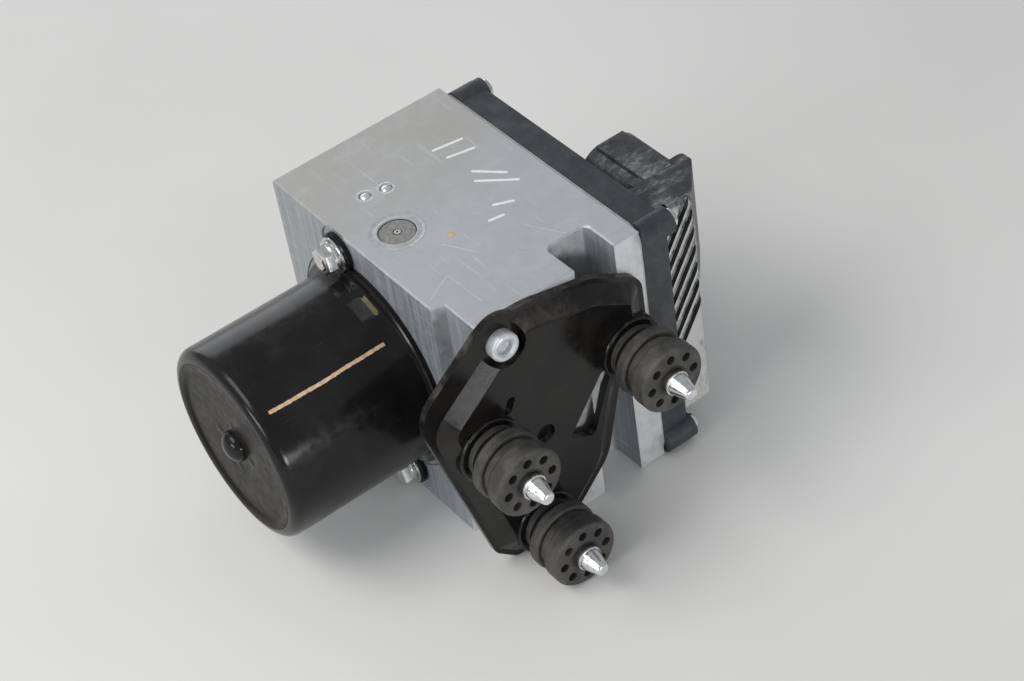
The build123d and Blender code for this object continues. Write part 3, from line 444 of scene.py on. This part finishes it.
class Look(Enum):
    """Finish of each kind of surface on the unit."""

    ALUMINIUM = MachinedAluminium()
    CAN = Finish((0.007, 0.0066, 0.0064), (0.013, 0.012, 0.0115), rough=0.17, rough_spread=0.06,
                 grain=60, relief=0.00001, dust=0.2, dust_up=0.35, dust_tone=(0.09, 0.078, 0.066),
                 specular=0.24, scuffs=0.3)
    CAN_END = Finish((0.008, 0.0068, 0.006), (0.014, 0.0115, 0.010), rough=0.3, rough_spread=0.06,
                     grain=70, relief=0.00001, dust=0.25, dust_up=0.5,
                     dust_tone=(0.035, 0.029, 0.024), specular=0.07, scuffs=0.35)
    BRACKET = Finish((0.0055, 0.005, 0.0048), (0.0105, 0.009, 0.008), rough=0.2, rough_spread=0.06,
                     grain=90, relief=0.00002, dust=0.8, dust_up=0.36, dust_tone=(0.10, 0.088, 0.07),
                     specks=0.25, specular=0.3, scuffs=0.4)
    PLASTIC = Finish((0.020, 0.023, 0.027), (0.038, 0.042, 0.048), rough=0.5, relief=0.00003,
                     dust=0.35, dust_up=0.5, dust_tone=(0.13, 0.13, 0.13), specks=0.3)
    RIBBED = RibbedPlastic()
    RUBBER = Finish((0.026, 0.025, 0.024), (0.062, 0.058, 0.053), rough=0.55, grain=150,
                    relief=0.00008, dust=0.45, dust_up=0.6, dust_tone=(0.15, 0.137, 0.118),
                    specks=0.35, stretch=(1.6, 1, 1))
    STUD = DarkRootStud()
    ZINC = Finish((0.60, 0.60, 0.59), (0.80, 0.80, 0.78), metallic=1.0, rough=0.22,
                  rough_spread=0.04, grain=300, relief=0.000004, dust=0.15)
    DULL_ZINC = Finish((0.50, 0.52, 0.54), (0.70, 0.71, 0.72), metallic=0.55, rough=0.45, grain=300,
                       relief=0.00005, dust=0.25, dust_tone=(0.3, 0.29, 0.27))
    PLUG = Finish((0.24, 0.235, 0.22), (0.34, 0.335, 0.31), metallic=0.4, rough=0.5, grain=700,
                  relief=0.00001, dust=0.15)
    BALL = Finish((0.66, 0.67, 0.68), (0.82, 0.83, 0.84), metallic=0.75, rough=0.3, grain=900,
                  relief=0.000004)
    SWAGED = Finish((0.47, 0.475, 0.475), (0.58, 0.59, 0.6), metallic=0.55, rough=0.46, grain=500,
                    relief=0.00001)
    SEAL = Finish((0.34, 0.36, 0.35), (0.46, 0.48, 0.46), rough=0.6, grain=300)
    STEEL = Finish((0.5, 0.5, 0.5), (0.66, 0.66, 0.66), metallic=1.0, rough=0.25, grain=500)
    LAMINATION = Finish((0.25, 0.25, 0.26), (0.4, 0.4, 0.4), metallic=0.9, rough=0.45, grain=1200,
                        stretch=(0.05, 1, 0.05))
    COPPER = Finish((0.42, 0.14, 0.05), (0.62, 0.25, 0.1), metallic=0.8, rough=0.35, grain=900,
                    stretch=(1, 0.2, 1))
    FERRITE = Finish((0.05, 0.05, 0.055), (0.09, 0.09, 0.09), rough=0.6, grain=500)
    CARBON = Finish((0.03, 0.03, 0.03), (0.06, 0.06, 0.06), rough=0.7, grain=800)
    BOARD = Finish((0.01, 0.09, 0.035), (0.02, 0.14, 0.05), rough=0.35, grain=350)
    BRASS = Finish((0.65, 0.5, 0.22), (0.75, 0.62, 0.3), metallic=1.0, rough=0.3, grain=600)
    PEN = Finish((0.80, 0.80, 0.79), (0.90, 0.90, 0.89), rough=0.6, grain=700)
    TAPE = Finish((0.010, 0.012, 0.012), (0.020, 0.022, 0.021), rough=0.3, grain=300, dust=0.15)
    OLIVE = Finish((0.13, 0.115, 0.06), (0.20, 0.18, 0.10), rough=0.5, grain=400)
    OCHRE = Finish((0.50, 0.34, 0.20), (0.68, 0.50, 0.34), rough=0.55, grain=500)
    YELLOW = Finish((0.52, 0.43, 0.16), (0.62, 0.55, 0.30), rough=0.6, grain=500)
    SCRIBED = Finish((0.66, 0.68, 0.70), (0.80, 0.81, 0.82), metallic=0.5, rough=0.4, grain=900)

    @property
    def material(self) -> bpy.types.Material:
        """The material of this look, made when it is first asked for."""
        name = self.name.lower() + "_finish"
        return bpy.data.materials.get(name) or self.value.build(name)


# ---------------------------------------------------------------- mesh helpers

Profile = list[Spot]


def lathe(profile: Profile, centre: Vector, out: Vector, steps: int = 64) -> bmesh.types.BMesh:
    """Turns a profile about an axis.

    Args:
        profile: radius and height pairs in millimetres.
        centre: foot of the axis in metres.
        out: unit direction of the axis.
        steps: segments of the full turn.

    Returns:
        The closed mesh.
    """
    mesh = bmesh.new()
    side = out.orthogonal().normalized()
    verts = [mesh.verts.new(centre + side * (r * MM) + out * (h * MM)) for r, h in profile]
    edges = [mesh.edges.new(pair) for pair in zip(verts, verts[1:])]
    bmesh.ops.spin(mesh, geom=verts + edges, cent=centre, axis=out, angle=2 * pi, steps=steps,
                   use_merge=True)
    bmesh.ops.remove_doubles(mesh, verts=mesh.verts, dist=MM / 500)
    return mesh


def arc(centre: Spot, radius: Spot, start: float, end: float, count: int) -> Profile:
    """Points of an elliptic arc of a profile.

    Args:
        centre: centre of the arc.
        radius: half axes.
        start: first angle in degrees.
        end: last angle in degrees.
        count: number of points.

    Returns:
        The points.
    """
    angles = [radians(start + (end - start) * i / (count - 1)) for i in range(count)]
    return [(centre[0] + radius[0] * cos(a), centre[1] + radius[1] * sin(a)) for a in angles]


def absorb(target: bmesh.types.BMesh, source: bmesh.types.BMesh) -> None:
    """Adds one mesh to another and frees it.

    Args:
        target: mesh that grows.
        source: mesh that is added and freed.
    """
    carrier = bpy.data.meshes.new("carrier")
    source.to_mesh(carrier)
    source.free()
    target.from_mesh(carrier)
    bpy.data.meshes.remove(carrier)


def bevel(mesh: bmesh.types.BMesh, edges: list[bmesh.types.BMEdge], offset: float,
          segments: int) -> None:
    """Rounds edges of a mesh.

    Args:
        mesh: mesh that is changed.
        edges: edges to round.
        offset: width of the bevel in millimetres.
        segments: faces across it.
    """
    bmesh.ops.bevel(mesh, geom=edges, offset=offset * MM, offset_type="OFFSET", affect="EDGES",
                    segments=segments, profile=0.5, material=-1)


def slab(length: float, width: float, height: float, place: Vector, turn: float,
         corner: float) -> bmesh.types.BMesh:
    """Flat bar with rounded ends, lying on a level face.

    Args:
        length: length in millimetres.
        width: width in millimetres.
        height: thickness in millimetres.
        place: middle of its foot in metres.
        turn: turn about Z in degrees.
        corner: radius of the upright edges in millimetres.

    Returns:
        The mesh.
    """
    mesh = bmesh.new()
    bmesh.ops.create_cube(mesh, size=MM)
    bmesh.ops.scale(mesh, vec=(length, width, height), verts=mesh.verts)
    tall = height * MM / 2
    bevel(mesh, [e for e in mesh.edges if abs(e.verts[0].co.z - e.verts[1].co.z) > tall], corner, 4)
    bmesh.ops.rotate(mesh, verts=mesh.verts, matrix=Matrix.Rotation(radians(turn), 3, "Z"))
    bmesh.ops.translate(mesh, verts=mesh.verts, vec=place + Vector((0, 0, tall)))
    return mesh


def bar_between(start: Spot, end: Spot, level: float, width: float,
                height: float) -> bmesh.types.BMesh:
    """Thin bar between two points of a level face.

    Args:
        start: distances from the port face and the motor face.
        end: distances of the other end.
        level: height of the face above the ground.
        width: width of the bar.
        height: thickness of the bar.

    Returns:
        The mesh.
    """
    a, b = at(*start, level), at(*end, level)
    run = b - a
    turn = degrees(atan2(run.y, run.x))
    return slab(run.length / MM, width, height, (a + b) / 2, turn, width * 0.45)


def add_piece(name: str, mesh: bmesh.types.BMesh, look: Look,
              replaced: tuple[str, ...] = (), body: str = "unit",
              smooth_angle: float = 35.0) -> bpy.types.Object:
    """Turns a bmesh into a piece that rides on a body.

    Args:
        name: name of the piece.
        mesh: geometry, freed here.
        look: finish of the piece.
        replaced: nodes that this piece stands for.
        body: body that carries it.
        smooth_angle: edges sharper than this many degrees stay sharp.

    Returns:
        The new object.
    """
    bmesh.ops.recalc_face_normals(mesh, faces=mesh.faces)
    limit = radians(smooth_angle)
    for edge in mesh.edges:
        edge.smooth = len(edge.link_faces) == 2 and edge.calc_face_angle(0.0) < limit
    for face in mesh.faces:
        face.smooth = True
    data = bpy.data.meshes.new(name)
    mesh.to_mesh(data)
    mesh.free()
    data.materials.append(look.material)
    made = bpy.data.objects.new(name, data)
    bpy.context.scene.collection.objects.link(made)
    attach(made, body)
    if replaced:
        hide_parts(*replaced)
    log.info("%s: %d faces", name, len(data.polygons))
    return made


def dress_node(name: str, look: Look) -> None:
    """Puts a finish on a node.

    Args:
        name: node name.
        look: finish.
    """
    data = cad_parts[name].data
    data.materials.clear()
    data.materials.append(look.material)
    log.info("%s dressed as %s", name, look.name.lower())


# ---------------------------------------------------------------- sub-assemblies


@dataclass
class Assembly:
    """Sub-assembly whose other nodes keep their shape and only get a finish."""

    nodes: dict[str, Look] = field(default_factory=dict)

    def build(self) -> None:
        """Builds the pieces that the scene adds."""

    def dress(self) -> None:
        """Dresses the nodes that keep their shape."""
        for node, look in self.nodes.items():
            dress_node(node, look)


@dataclass
class Motor(Assembly):
    """Pump motor: drawn steel can with its end dome, flange bolts, the marks on its side and a painted
    reflection along it.
    """

    axis_x: float = 46.4
    axis_z: float = 49.7
    can_r: float = 34.35
    inner_r: float = 32.45
    seat: float = 0.5
    flange_r: float = 37.4
    flange_t: float = 2.2
    end: float = 57.1
    shoulder: float = 3.8
    plate_r: float = 30.2
    step_r: float = 27.5
    dome_r: float = 5.5
    dome_h: float = 3.9
    ear_r: float = 7.2
    ear_pitch_r: float = 41.6
    ear_angle: float = 104.0
    hub_r: float = 3.6
    hex_r: float = 5.2
    hex_t: float = 3.3
    washers_t: float = 2.4
    nodes: dict[str, Look] = field(default_factory=lambda: {
        "brush_plate": Look.PLASTIC, "motor_shaft": Look.STEEL, "eccentric_ring": Look.STEEL,
        "motor_bearings": Look.STEEL, "armature": Look.LAMINATION, "armature_windings": Look.COPPER,
        "commutator": Look.COPPER, "motor_leads": Look.COPPER, "motor_magnets": Look.FERRITE,
        "carbon_brushes": Look.CARBON})

    def foot(self, out: float = 0.0, angle: float = 0.0, radius: float = 0.0) -> Vector:
        """Point on the flange seat, or out from it, at a place round the motor axis.

        Args:
            out: distance out from the seat.
            angle: angle round the axis in degrees.
            radius: distance from the axis.

        Returns:
            The point in metres.
        """
        return at(self.axis_x + radius * cos(radians(angle)), self.seat - out,
                  self.axis_z + radius * sin(radians(angle)))

    def build(self) -> None:
        """Builds the can, its end plate, the bolts, the marks and the painted reflection."""
        self.build_can()
        self.build_end()
        self.build_bolts()
        self.build_marks()

    def build_can(self) -> None:
        """Lathe-turned can with its flange and two flange ears."""
        rim = self.end - self.shoulder
        profile = [(self.inner_r, 0.0), (self.flange_r - 0.2, 0.0), (self.flange_r, 0.2),
                   (self.flange_r, self.flange_t - 0.5), (self.flange_r - 0.5, self.flange_t),
                   (self.can_r + 1.2, self.flange_t), (self.can_r + 0.3, self.flange_t + 0.3),
                   (self.can_r, self.flange_t + 1.2), (self.can_r, rim / 2)]
        profile += arc((self.can_r - self.shoulder, rim), (self.shoulder, self.shoulder), 0, 90, 9)
        profile += [(self.plate_r + 0.12, self.end), (self.plate_r, self.end - 0.12),
                    (self.plate_r, self.end - 2.4), (self.inner_r - 1.2, self.end - 2.6),
                    (self.inner_r, self.end - 3.8), (self.inner_r, 0.0)]
        mesh = lathe(profile, self.foot(), MOTOR_OUT, 144)
        ear = [(0, 0), (self.ear_r - 0.2, 0), (self.ear_r, 0.2), (self.ear_r, self.flange_t - 0.4),
               (self.ear_r - 0.4, self.flange_t), (0, self.flange_t)]
        for angle in (self.ear_angle, self.ear_angle + 180):
            absorb(mesh, lathe(ear, self.foot(0, angle, self.ear_pitch_r), MOTOR_OUT, 48))
        add_piece("motor_housing", mesh, Look.CAN, ("motor_can",))

    def build_end(self) -> None:
        """End plate of the can: stamped ring, shallow dish, pinched marks and bearing dome."""
        edge_r, end = self.plate_r - 0.02, self.end
        profile = [(self.hub_r, end - 1.4), (self.hub_r, end - 2.4), (edge_r, end - 2.4),
                   (edge_r, end - 0.12), (self.plate_r - 0.14, end - 0.01),
                   (self.step_r + 0.8, end - 0.1), (self.step_r, end - 0.35),
                   (self.step_r - 0.8, end - 0.8), (self.step_r - 1.8, end - 0.9), (20, end - 0.85)]
        profile += [(14 - i, end - 0.85 - 0.05 * i) for i in range(7)]
        profile += [(self.dome_r + 0.5, end - 1.0), (self.dome_r - 0.2, end - 1.1),
                    (self.hub_r, end - 1.4)]
        mesh = lathe(profile, self.foot(), MOTOR_OUT, 144)
        inside, outside, depth = self.dome_r + 0.8, 11.0, 0.3
        for vert in mesh.verts:
            off = vert.co - self.foot()
            radius, turn = Vector((off.x, off.z)).length / MM, atan2(off.z, off.x)
            if inside < radius < outside:
                quarter = max(0.0, cos(4 * turn + 0.5)) ** 4
                pinch = quarter * sin(pi * (radius - inside) / (outside - inside))
                vert.co.y -= depth * pinch * MM
        add_piece("motor_end_plate", mesh, Look.CAN_END)
        dome = [(0, end + 1.55), (self.hub_r, end + 1.55), (self.hub_r, end - 1.4),
                (self.dome_r, end - 1.2)]
        dome += arc((0, end - 1.0), (self.dome_r, self.dome_h), 0, 90, 14)
        add_piece("motor_bearing_dome", lathe(dome, self.foot(), MOTOR_OUT, 64), Look.CAN)

    def build_bolts(self) -> None:
        """Flange bolts: flat washer, spring washer and a chamfered hexagon head."""
        whole = bmesh.new()
        stack = [(0, 0), (6.2, 0), (6.4, 0.2), (6.4, 0.7), (6.2, 0.9), (5.3, 0.9), (5.6, 1.15),
                 (5.6, 1.9), (5.3, 2.1), (4.9, 2.1), (4.9, self.washers_t), (0, self.washers_t)]
        rise = self.washers_t - 0.1 + self.hex_t / 2
        for angle in (self.ear_angle, self.ear_angle + 180):
            foot = self.foot(self.flange_t, angle, self.ear_pitch_r)
            absorb(whole, lathe(stack, foot, MOTOR_OUT, 48))
            head = bmesh.new()
            bmesh.ops.create_cone(head, cap_ends=True, segments=6, radius1=self.hex_r * MM,
                                  radius2=self.hex_r * MM, depth=self.hex_t * MM)
            bevel(head, [e for e in head.edges if all(v.co.z > 0 for v in e.verts)], 0.8, 3)
            cap = max(head.faces, key=lambda f: f.calc_center_median().z)
            bmesh.ops.inset_individual(head, faces=[cap], thickness=0.9 * MM, depth=0)
            bmesh.ops.inset_individual(head, faces=[cap], thickness=0.8 * MM, depth=0.35 * MM)
            for degree, axis in ((17, "Z"), (90, "X")):
                bmesh.ops.rotate(head, verts=head.verts, matrix=Matrix.Rotation(radians(degree), 3, axis))
            bmesh.ops.translate(head, verts=head.verts, vec=foot + MOTOR_OUT * (rise * MM))
            absorb(whole, head)
        add_piece("motor_bolt_heads", whole, Look.ZINC, ("motor_bolts",),
                  smooth_angle=25)

    def patch(self, angles: Spot, outs: Spot, lift: float,
              ragged: float = 0.0) -> bmesh.types.BMesh:
        """Thin patch that follows the side of the can.

        Args:
            angles: first and last angle round the axis in degrees.
            outs: first and last distance out from the flange seat.
            lift: thickness in millimetres.
            ragged: sideways wander of its edges in degrees.

        Returns:
            The mesh.
        """
        mesh = bmesh.new()
        bmesh.ops.create_grid(mesh, x_segments=10, y_segments=150, size=0.5)
        bmesh.ops.solidify(mesh, geom=mesh.faces[:], thickness=1.0)
        for vert in mesh.verts:
            u, v, up = vert.co.x + 0.5, vert.co.y + 0.5, abs(vert.co.z)
            fray = (sin(61 * v) + sin(97 * v + 2) + sin(149 * v + 4)) / 3
            wander = 0.8 * sin(7 * v + 0.6) + 0.3 * sin(19 * v + 1) + 1.1 * (u - 0.5) * fray
            angle = angles[0] + (angles[1] - angles[0]) * u + ragged * wander
            out = outs[0] + (outs[1] - outs[0]) * v
            vert.co = self.foot(out, angle, self.can_r + 0.01 + lift * up)
        return mesh

    def build_marks(self) -> None:
        """Painted reflection as a thin ochre stripe along the can, and a dark patch with an olive edge by the
        flange.
        """
        for name, angles, outs, lift, ragged, look in (
            # painted reflection: a warm streak along the can, drawn as an ochre stripe with ragged edges
            ("can_paint_stripe", (49.6, 51.6), (8.0, 51.4), 0.05, 0.32, Look.OCHRE),
            ("can_dark_patch", (67.0, 81.0), (5.0, 9.8), 0.04, 0.0, Look.TAPE),
            ("can_olive_edge", (66.5, 79.5), (3.3, 5.0), 0.03, 0.7, Look.OLIVE),
        ):
            add_piece(name, self.patch(angles, outs, lift, ragged), look)


@dataclass
class Block(Assembly):
    """Valve block with the swaged pump plug, pressed balls and workshop marks on its top."""

    top: float = HEIGHT
    plug: Spot = (50.7, 14.1)
    balls: tuple[Spot, ...] = ((29.1, 16.8), (30.7, 23.9))
    speck: Spot = (64.2, 25.3)
    dashes: tuple[tuple[Spot, Spot], ...] = (
        ((26.2, 45.5), (28.2, 56.7)), ((32.5, 46.6), (34.9, 56.6)), ((43.8, 48.3), (52.9, 56.4)),
        ((48.5, 46.0), (58.5, 56.9)), ((62.3, 42.8), (65.6, 49.4)), ((67.6, 37.2), (68.7, 43.1)))
    lines: tuple[tuple[Spot, Spot], ...] = (
        ((78.9, 13.0), (84.4, 2.5)), ((78.9, 13.0), (96.1, 13.5)), ((66.0, 20.5), (77.0, 26.0)),
        ((76.5, 44.0), (90.0, 51.0)))
    nodes: dict[str, Look] = field(default_factory=lambda: {
        "valve_block": Look.ALUMINIUM, "accumulator_pistons": Look.ALUMINIUM, "pump_plug_upper": Look.PLUG,
        "pump_plug_lower": Look.PLUG, "accumulator_caps": Look.PLUG, "pump_sleeves": Look.STEEL,
        "pump_pistons": Look.STEEL, "pump_springs": Look.STEEL, "accumulator_springs": Look.STEEL,
        "valve_cartridges": Look.STEEL, "solenoid_coils": Look.COPPER})

    def build(self) -> None:
        """Builds the swaged rings, the balls and the marks."""
        self.build_swages()
        self.build_balls()
        self.build_marks()

    def build_swages(self) -> None:
        """Rings of block metal rolled over the two pump plugs."""
        ring = [(6.3, -0.5), (6.3, -0.08), (6.6, 0.03), (7.0, -0.02), (7.5, -0.12), (8.1, -0.14),
                (8.6, -0.05), (8.9, 0.05), (9.15, 0.0), (9.19, -0.5), (6.3, -0.5)]
        whole = lathe(ring, at(*self.plug, self.top), UP, 96)
        absorb(whole, lathe(ring, at(*self.plug, 0.1), DOWN, 96))
        add_piece("rolled_rings", whole, Look.SWAGED, ("swage_rings",))
        mark = bmesh.new()
        for turn in (20, 65, 110, 155):
            absorb(mark, slab(2.4, 0.45, 0.06, at(*self.plug, self.top - 0.28), turn, 0.15))
        add_piece("plug_punch_mark", mark, Look.SCRIBED)

    def build_balls(self) -> None:
        """Steel balls pressed into drillings, each in a raised ring."""
        whole = bmesh.new()
        ball = [(2.05, -2.6)] + arc((0, -1.0), (2.05, 1.6), 0, 90, 9)
        lip = [(2.1, -0.5), (2.15, -0.04), (2.5, 0.05), (2.9, 0.02), (3.1, 0.0), (3.1, -0.5),
               (2.1, -0.5)]
        for spot in self.balls:
            absorb(whole, lathe(ball, at(*spot, self.top), UP, 40))
            absorb(whole, lathe(lip, at(*spot, self.top), UP, 40))
        add_piece("pressed_balls", whole, Look.BALL, ("ball_plugs",))

    def build_marks(self) -> None:
        """Plain pen dashes, a speck of paint and scribed lines on the top."""
        for name, runs, width, height, look in (
            ("pen_dashes", self.dashes, 1.05, 0.03, Look.PEN),
            ("scribed_lines", self.lines, 0.22, 0.015, Look.SCRIBED),
        ):
            whole = bmesh.new()
            for start, end in runs:
                absorb(whole, bar_between(start, end, self.top, width, height))
            add_piece(name, whole, look)
        blob = [(0, 0), (1.1, 0), (1.2, 0.02), (1.0, 0.04), (0, 0.05)]
        speck = lathe(blob, at(*self.speck, self.top), UP, 14)
        for number, vert in enumerate(speck.verts):
            vert.co.x += 0.25 * MM * sin(5.3 * number)
        add_piece("paint_speck", speck, Look.YELLOW)


@dataclass
class ControlUnit(Assembly):
    """Plastic control unit with its connector shell and ribbed end."""

    lid_x: Spot = (3.9, 101.5)
    lid_z: Spot = (2.2, 50.5)
    lid_y: float = 77.2
    lid_t: float = 1.4
    lid_lap: float = 0.4
    nodes: dict[str, Look] = field(default_factory=lambda: {
        "ecu_frame": Look.PLASTIC, "ecu_cover": Look.RIBBED, "ecu_screws": Look.ZINC, "ecu_gasket": Look.SEAL,
        "circuit_board": Look.BOARD, "connector_pins": Look.BRASS})

    def build(self) -> None:
        """Builds the rear lid that closes the frame beside and under the low part of the cover."""
        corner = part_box("ecu_cover")[0]
        beside = corner[0] / MM + HALF_WIDTH + self.lid_lap
        under = corner[2] / MM + self.lid_lap
        whole = bmesh.new()
        for width, height in ((beside - self.lid_x[0], self.lid_z[1] - self.lid_z[0]),
                              (self.lid_x[1] - self.lid_x[0], under - self.lid_z[0])):
            strip = bmesh.new()
            bmesh.ops.create_cube(strip, size=MM)
            bmesh.ops.scale(strip, vec=(width, self.lid_t, height), verts=strip.verts)
            bevel(strip, strip.edges[:], 0.3, 2)
            middle = at(self.lid_x[0] + width / 2, self.lid_y, self.lid_z[0] + height / 2)
            bmesh.ops.translate(strip, verts=strip.verts, vec=middle)
            absorb(whole, strip)
        add_piece("frame_rear_lid", whole, Look.PLASTIC)


@dataclass
class Mounting(Assembly):
    """Pressed bracket with its screws, rubber bushes and studs."""

    sheet: float = 2.5
    head_r: float = 5.0
    head_t: float = 4.0
    screws: tuple[Spot, ...] = ((10.3, 91.2), (9.2, 40.5))
    base_r: float = 6.5
    neck_r: float = 4.2
    collar_r: float = 5.0
    nose_r: float = 4.4
    bushes: dict[str, Spot] = field(default_factory=lambda: {
        "stud_left": (-1.3, 56.4), "stud_right": (55.3, 61.1), "stud_lower": (14.1, 12.5)})
    nodes: dict[str, Look] = field(default_factory=lambda: {
        "bracket": Look.BRACKET, "bush_left": Look.RUBBER, "bush_right": Look.RUBBER,
        "bush_lower": Look.RUBBER})

    def build(self) -> None:
        """Builds the screw heads and the studs."""
        self.build_screws()
        self.build_studs()

    def build_studs(self) -> None:
        """Studs with a dark collar and a bright tapered nose, one piece for each bush."""
        start, end = PLATE_X, PLATE_X + BUSH_LENGTH
        base, seat = start - 4.1, start - self.sheet
        stud = [(0, base), (self.base_r - 0.2, base), (self.base_r, base + 0.2), (self.base_r, seat),
                (self.neck_r, seat), (self.neck_r, start), (self.collar_r, start),
                (self.collar_r, end + 0.01), (self.nose_r, end + 0.01), (self.nose_r, end + 2.0)]
        stud += arc((self.nose_r - 0.5, end + 2.0), (0.5, 0.4), 0, 90, 5)
        stud += [(3.9, end + 2.5), (3.65, end + 3.4), (3.2, end + 5.2), (2.6, end + 7.2)]
        stud += arc((1.3, end + 8.3), (1.0, 1.0), 30, 90, 6) + [(0, end + 9.35)]
        for name, spot in self.bushes.items():
            mesh = lathe(stud, at(0, *spot), BRACKET_OUT, 64)
            add_piece(f"{name}_with_nose", mesh, Look.STUD, (name,))

    def build_screws(self) -> None:
        """Socket screw heads with rounded edges, rubbed smooth with use."""
        whole = bmesh.new()
        r, t = self.head_r, self.head_t
        head = [(0, -0.3), (r - 0.2, -0.3), (r, 0.1)] + arc((r - 1.0, t - 1.0), (1.0, 1.0), 0, 90, 6)
        head += [(3.3, t), (3.0, t - 0.25), (2.6, t - 0.6), (2.4, t - 2.2), (0, t - 2.6)]
        for spot in self.screws:
            absorb(whole, lathe(head, at(BRACKET_FACE + self.sheet, *spot), BRACKET_OUT, 72))
        add_piece("bracket_screw_heads", whole, Look.DULL_ZINC, ("bracket_screws",))


@dataclass
class Stage:
    """Pale floor, soft lamps and the camera."""

    floor_size: float = 6.0
    floor_tone: Rgb = (0.76, 0.75, 0.73)
    camera_place: Rgb = (0.52616, -0.30084, 0.59068)
    forward: Rgb = (-0.633529, 0.379038, -0.674516)
    roll: float = 9.626
    lens: float = 87.0
    sensor: float = 36.0
    sky: float = 0.42
    sky_tone: Rgb = (0.93, 0.96, 1.0)
    target: Rgb = (0, 0, 0.05)

    def build(self) -> None:
        """Makes the floor, the lamps, the world and the camera."""
        self.floor()
        self.lamps()
        self.camera()

    def floor(self) -> None:
        """Large plane under the block."""
        mesh = bmesh.new()
        bmesh.ops.create_grid(mesh, x_segments=1, y_segments=1, size=self.floor_size / 2)
        data = bpy.data.meshes.new("floor")
        mesh.to_mesh(data)
        mesh.free()
        g = Graph("studio_floor")
        g.set(Roughness=0.85, Specular_IOR_Level=0.2)
        lighter = tuple(c * 1.04 for c in self.floor_tone)
        colour = g.mix(g.ramp(g.noise(6, 3), 0.3, 0.7), self.floor_tone, lighter)
        g.join(colour, g.shader.inputs["Base Color"])
        data.materials.append(g.material)
        floor = bpy.data.objects.new("floor", data)
        bpy.context.scene.collection.objects.link(floor)

    def lamps(self) -> None:
        """Soft area lamps and an even sky."""
        world = bpy.data.worlds.new("studio")
        world.use_nodes = True
        background = world.node_tree.nodes["Background"]
        background.inputs[0].default_value = (*self.sky_tone, 1)
        background.inputs[1].default_value = self.sky
        bpy.context.scene.world = world
        for name, place, size, power, tone in (
            ("key", (-0.15, -0.75, 1.1), (0.9, 0.6), 8.0, (1.0, 0.985, 0.96)),
            ("horizon", (-1.5, 0.3, 0.45), (1.2, 0.9), 5.0, (0.92, 0.96, 1.0)),
            ("side", (1.25, -0.1, 0.17), (0.5, 0.14), 5.5, (0.97, 0.98, 1.0)),
            ("front", (0.18, -1.2, 0.42), (0.5, 0.22), 4.0, (0.93, 0.96, 1.0)),
        ):
            data = bpy.data.lights.new(name, "AREA")
            data.shape = "RECTANGLE"
            data.size, data.size_y = size
            data.energy = power
            data.color = tone
            lamp = bpy.data.objects.new(name, data)
            aim = (Vector(self.target) - Vector(place)).to_track_quat("-Z", "Y")
            lamp.matrix_world = Matrix.Translation(place) @ aim.to_matrix().to_4x4()
            bpy.context.scene.collection.objects.link(lamp)

    def camera(self) -> None:
        """Camera that looks down on the unit from the bracket side."""
        data = bpy.data.cameras.new("camera")
        data.lens = self.lens
        data.sensor_width = self.sensor
        forward = Vector(self.forward).normalized()
        level = forward.cross(UP).normalized()
        down = forward.cross(level)
        right = level * cos(radians(self.roll)) + down * sin(radians(self.roll))
        up = right.cross(forward)
        turn = Matrix((right, up, -forward)).transposed().to_4x4()
        camera = bpy.data.objects.new("camera", data)
        camera.matrix_world = Matrix.Translation(self.camera_place) @ turn
        bpy.context.scene.collection.objects.link(camera)
        bpy.context.scene.camera = camera


def main() -> None:
    """Builds and dresses each sub-assembly and sets the stage."""
    logging.basicConfig(level=logging.INFO, format="%(name)s: %(message)s")
    bpy.context.scene.view_settings.view_transform = "Standard"
    for assembly in (Motor(), Block(), ControlUnit(), Mounting()):
        log.info("building %s", type(assembly).__name__)
        assembly.build()
        assembly.dress()
    Stage().build()


if __name__ == "__main__":
    main()
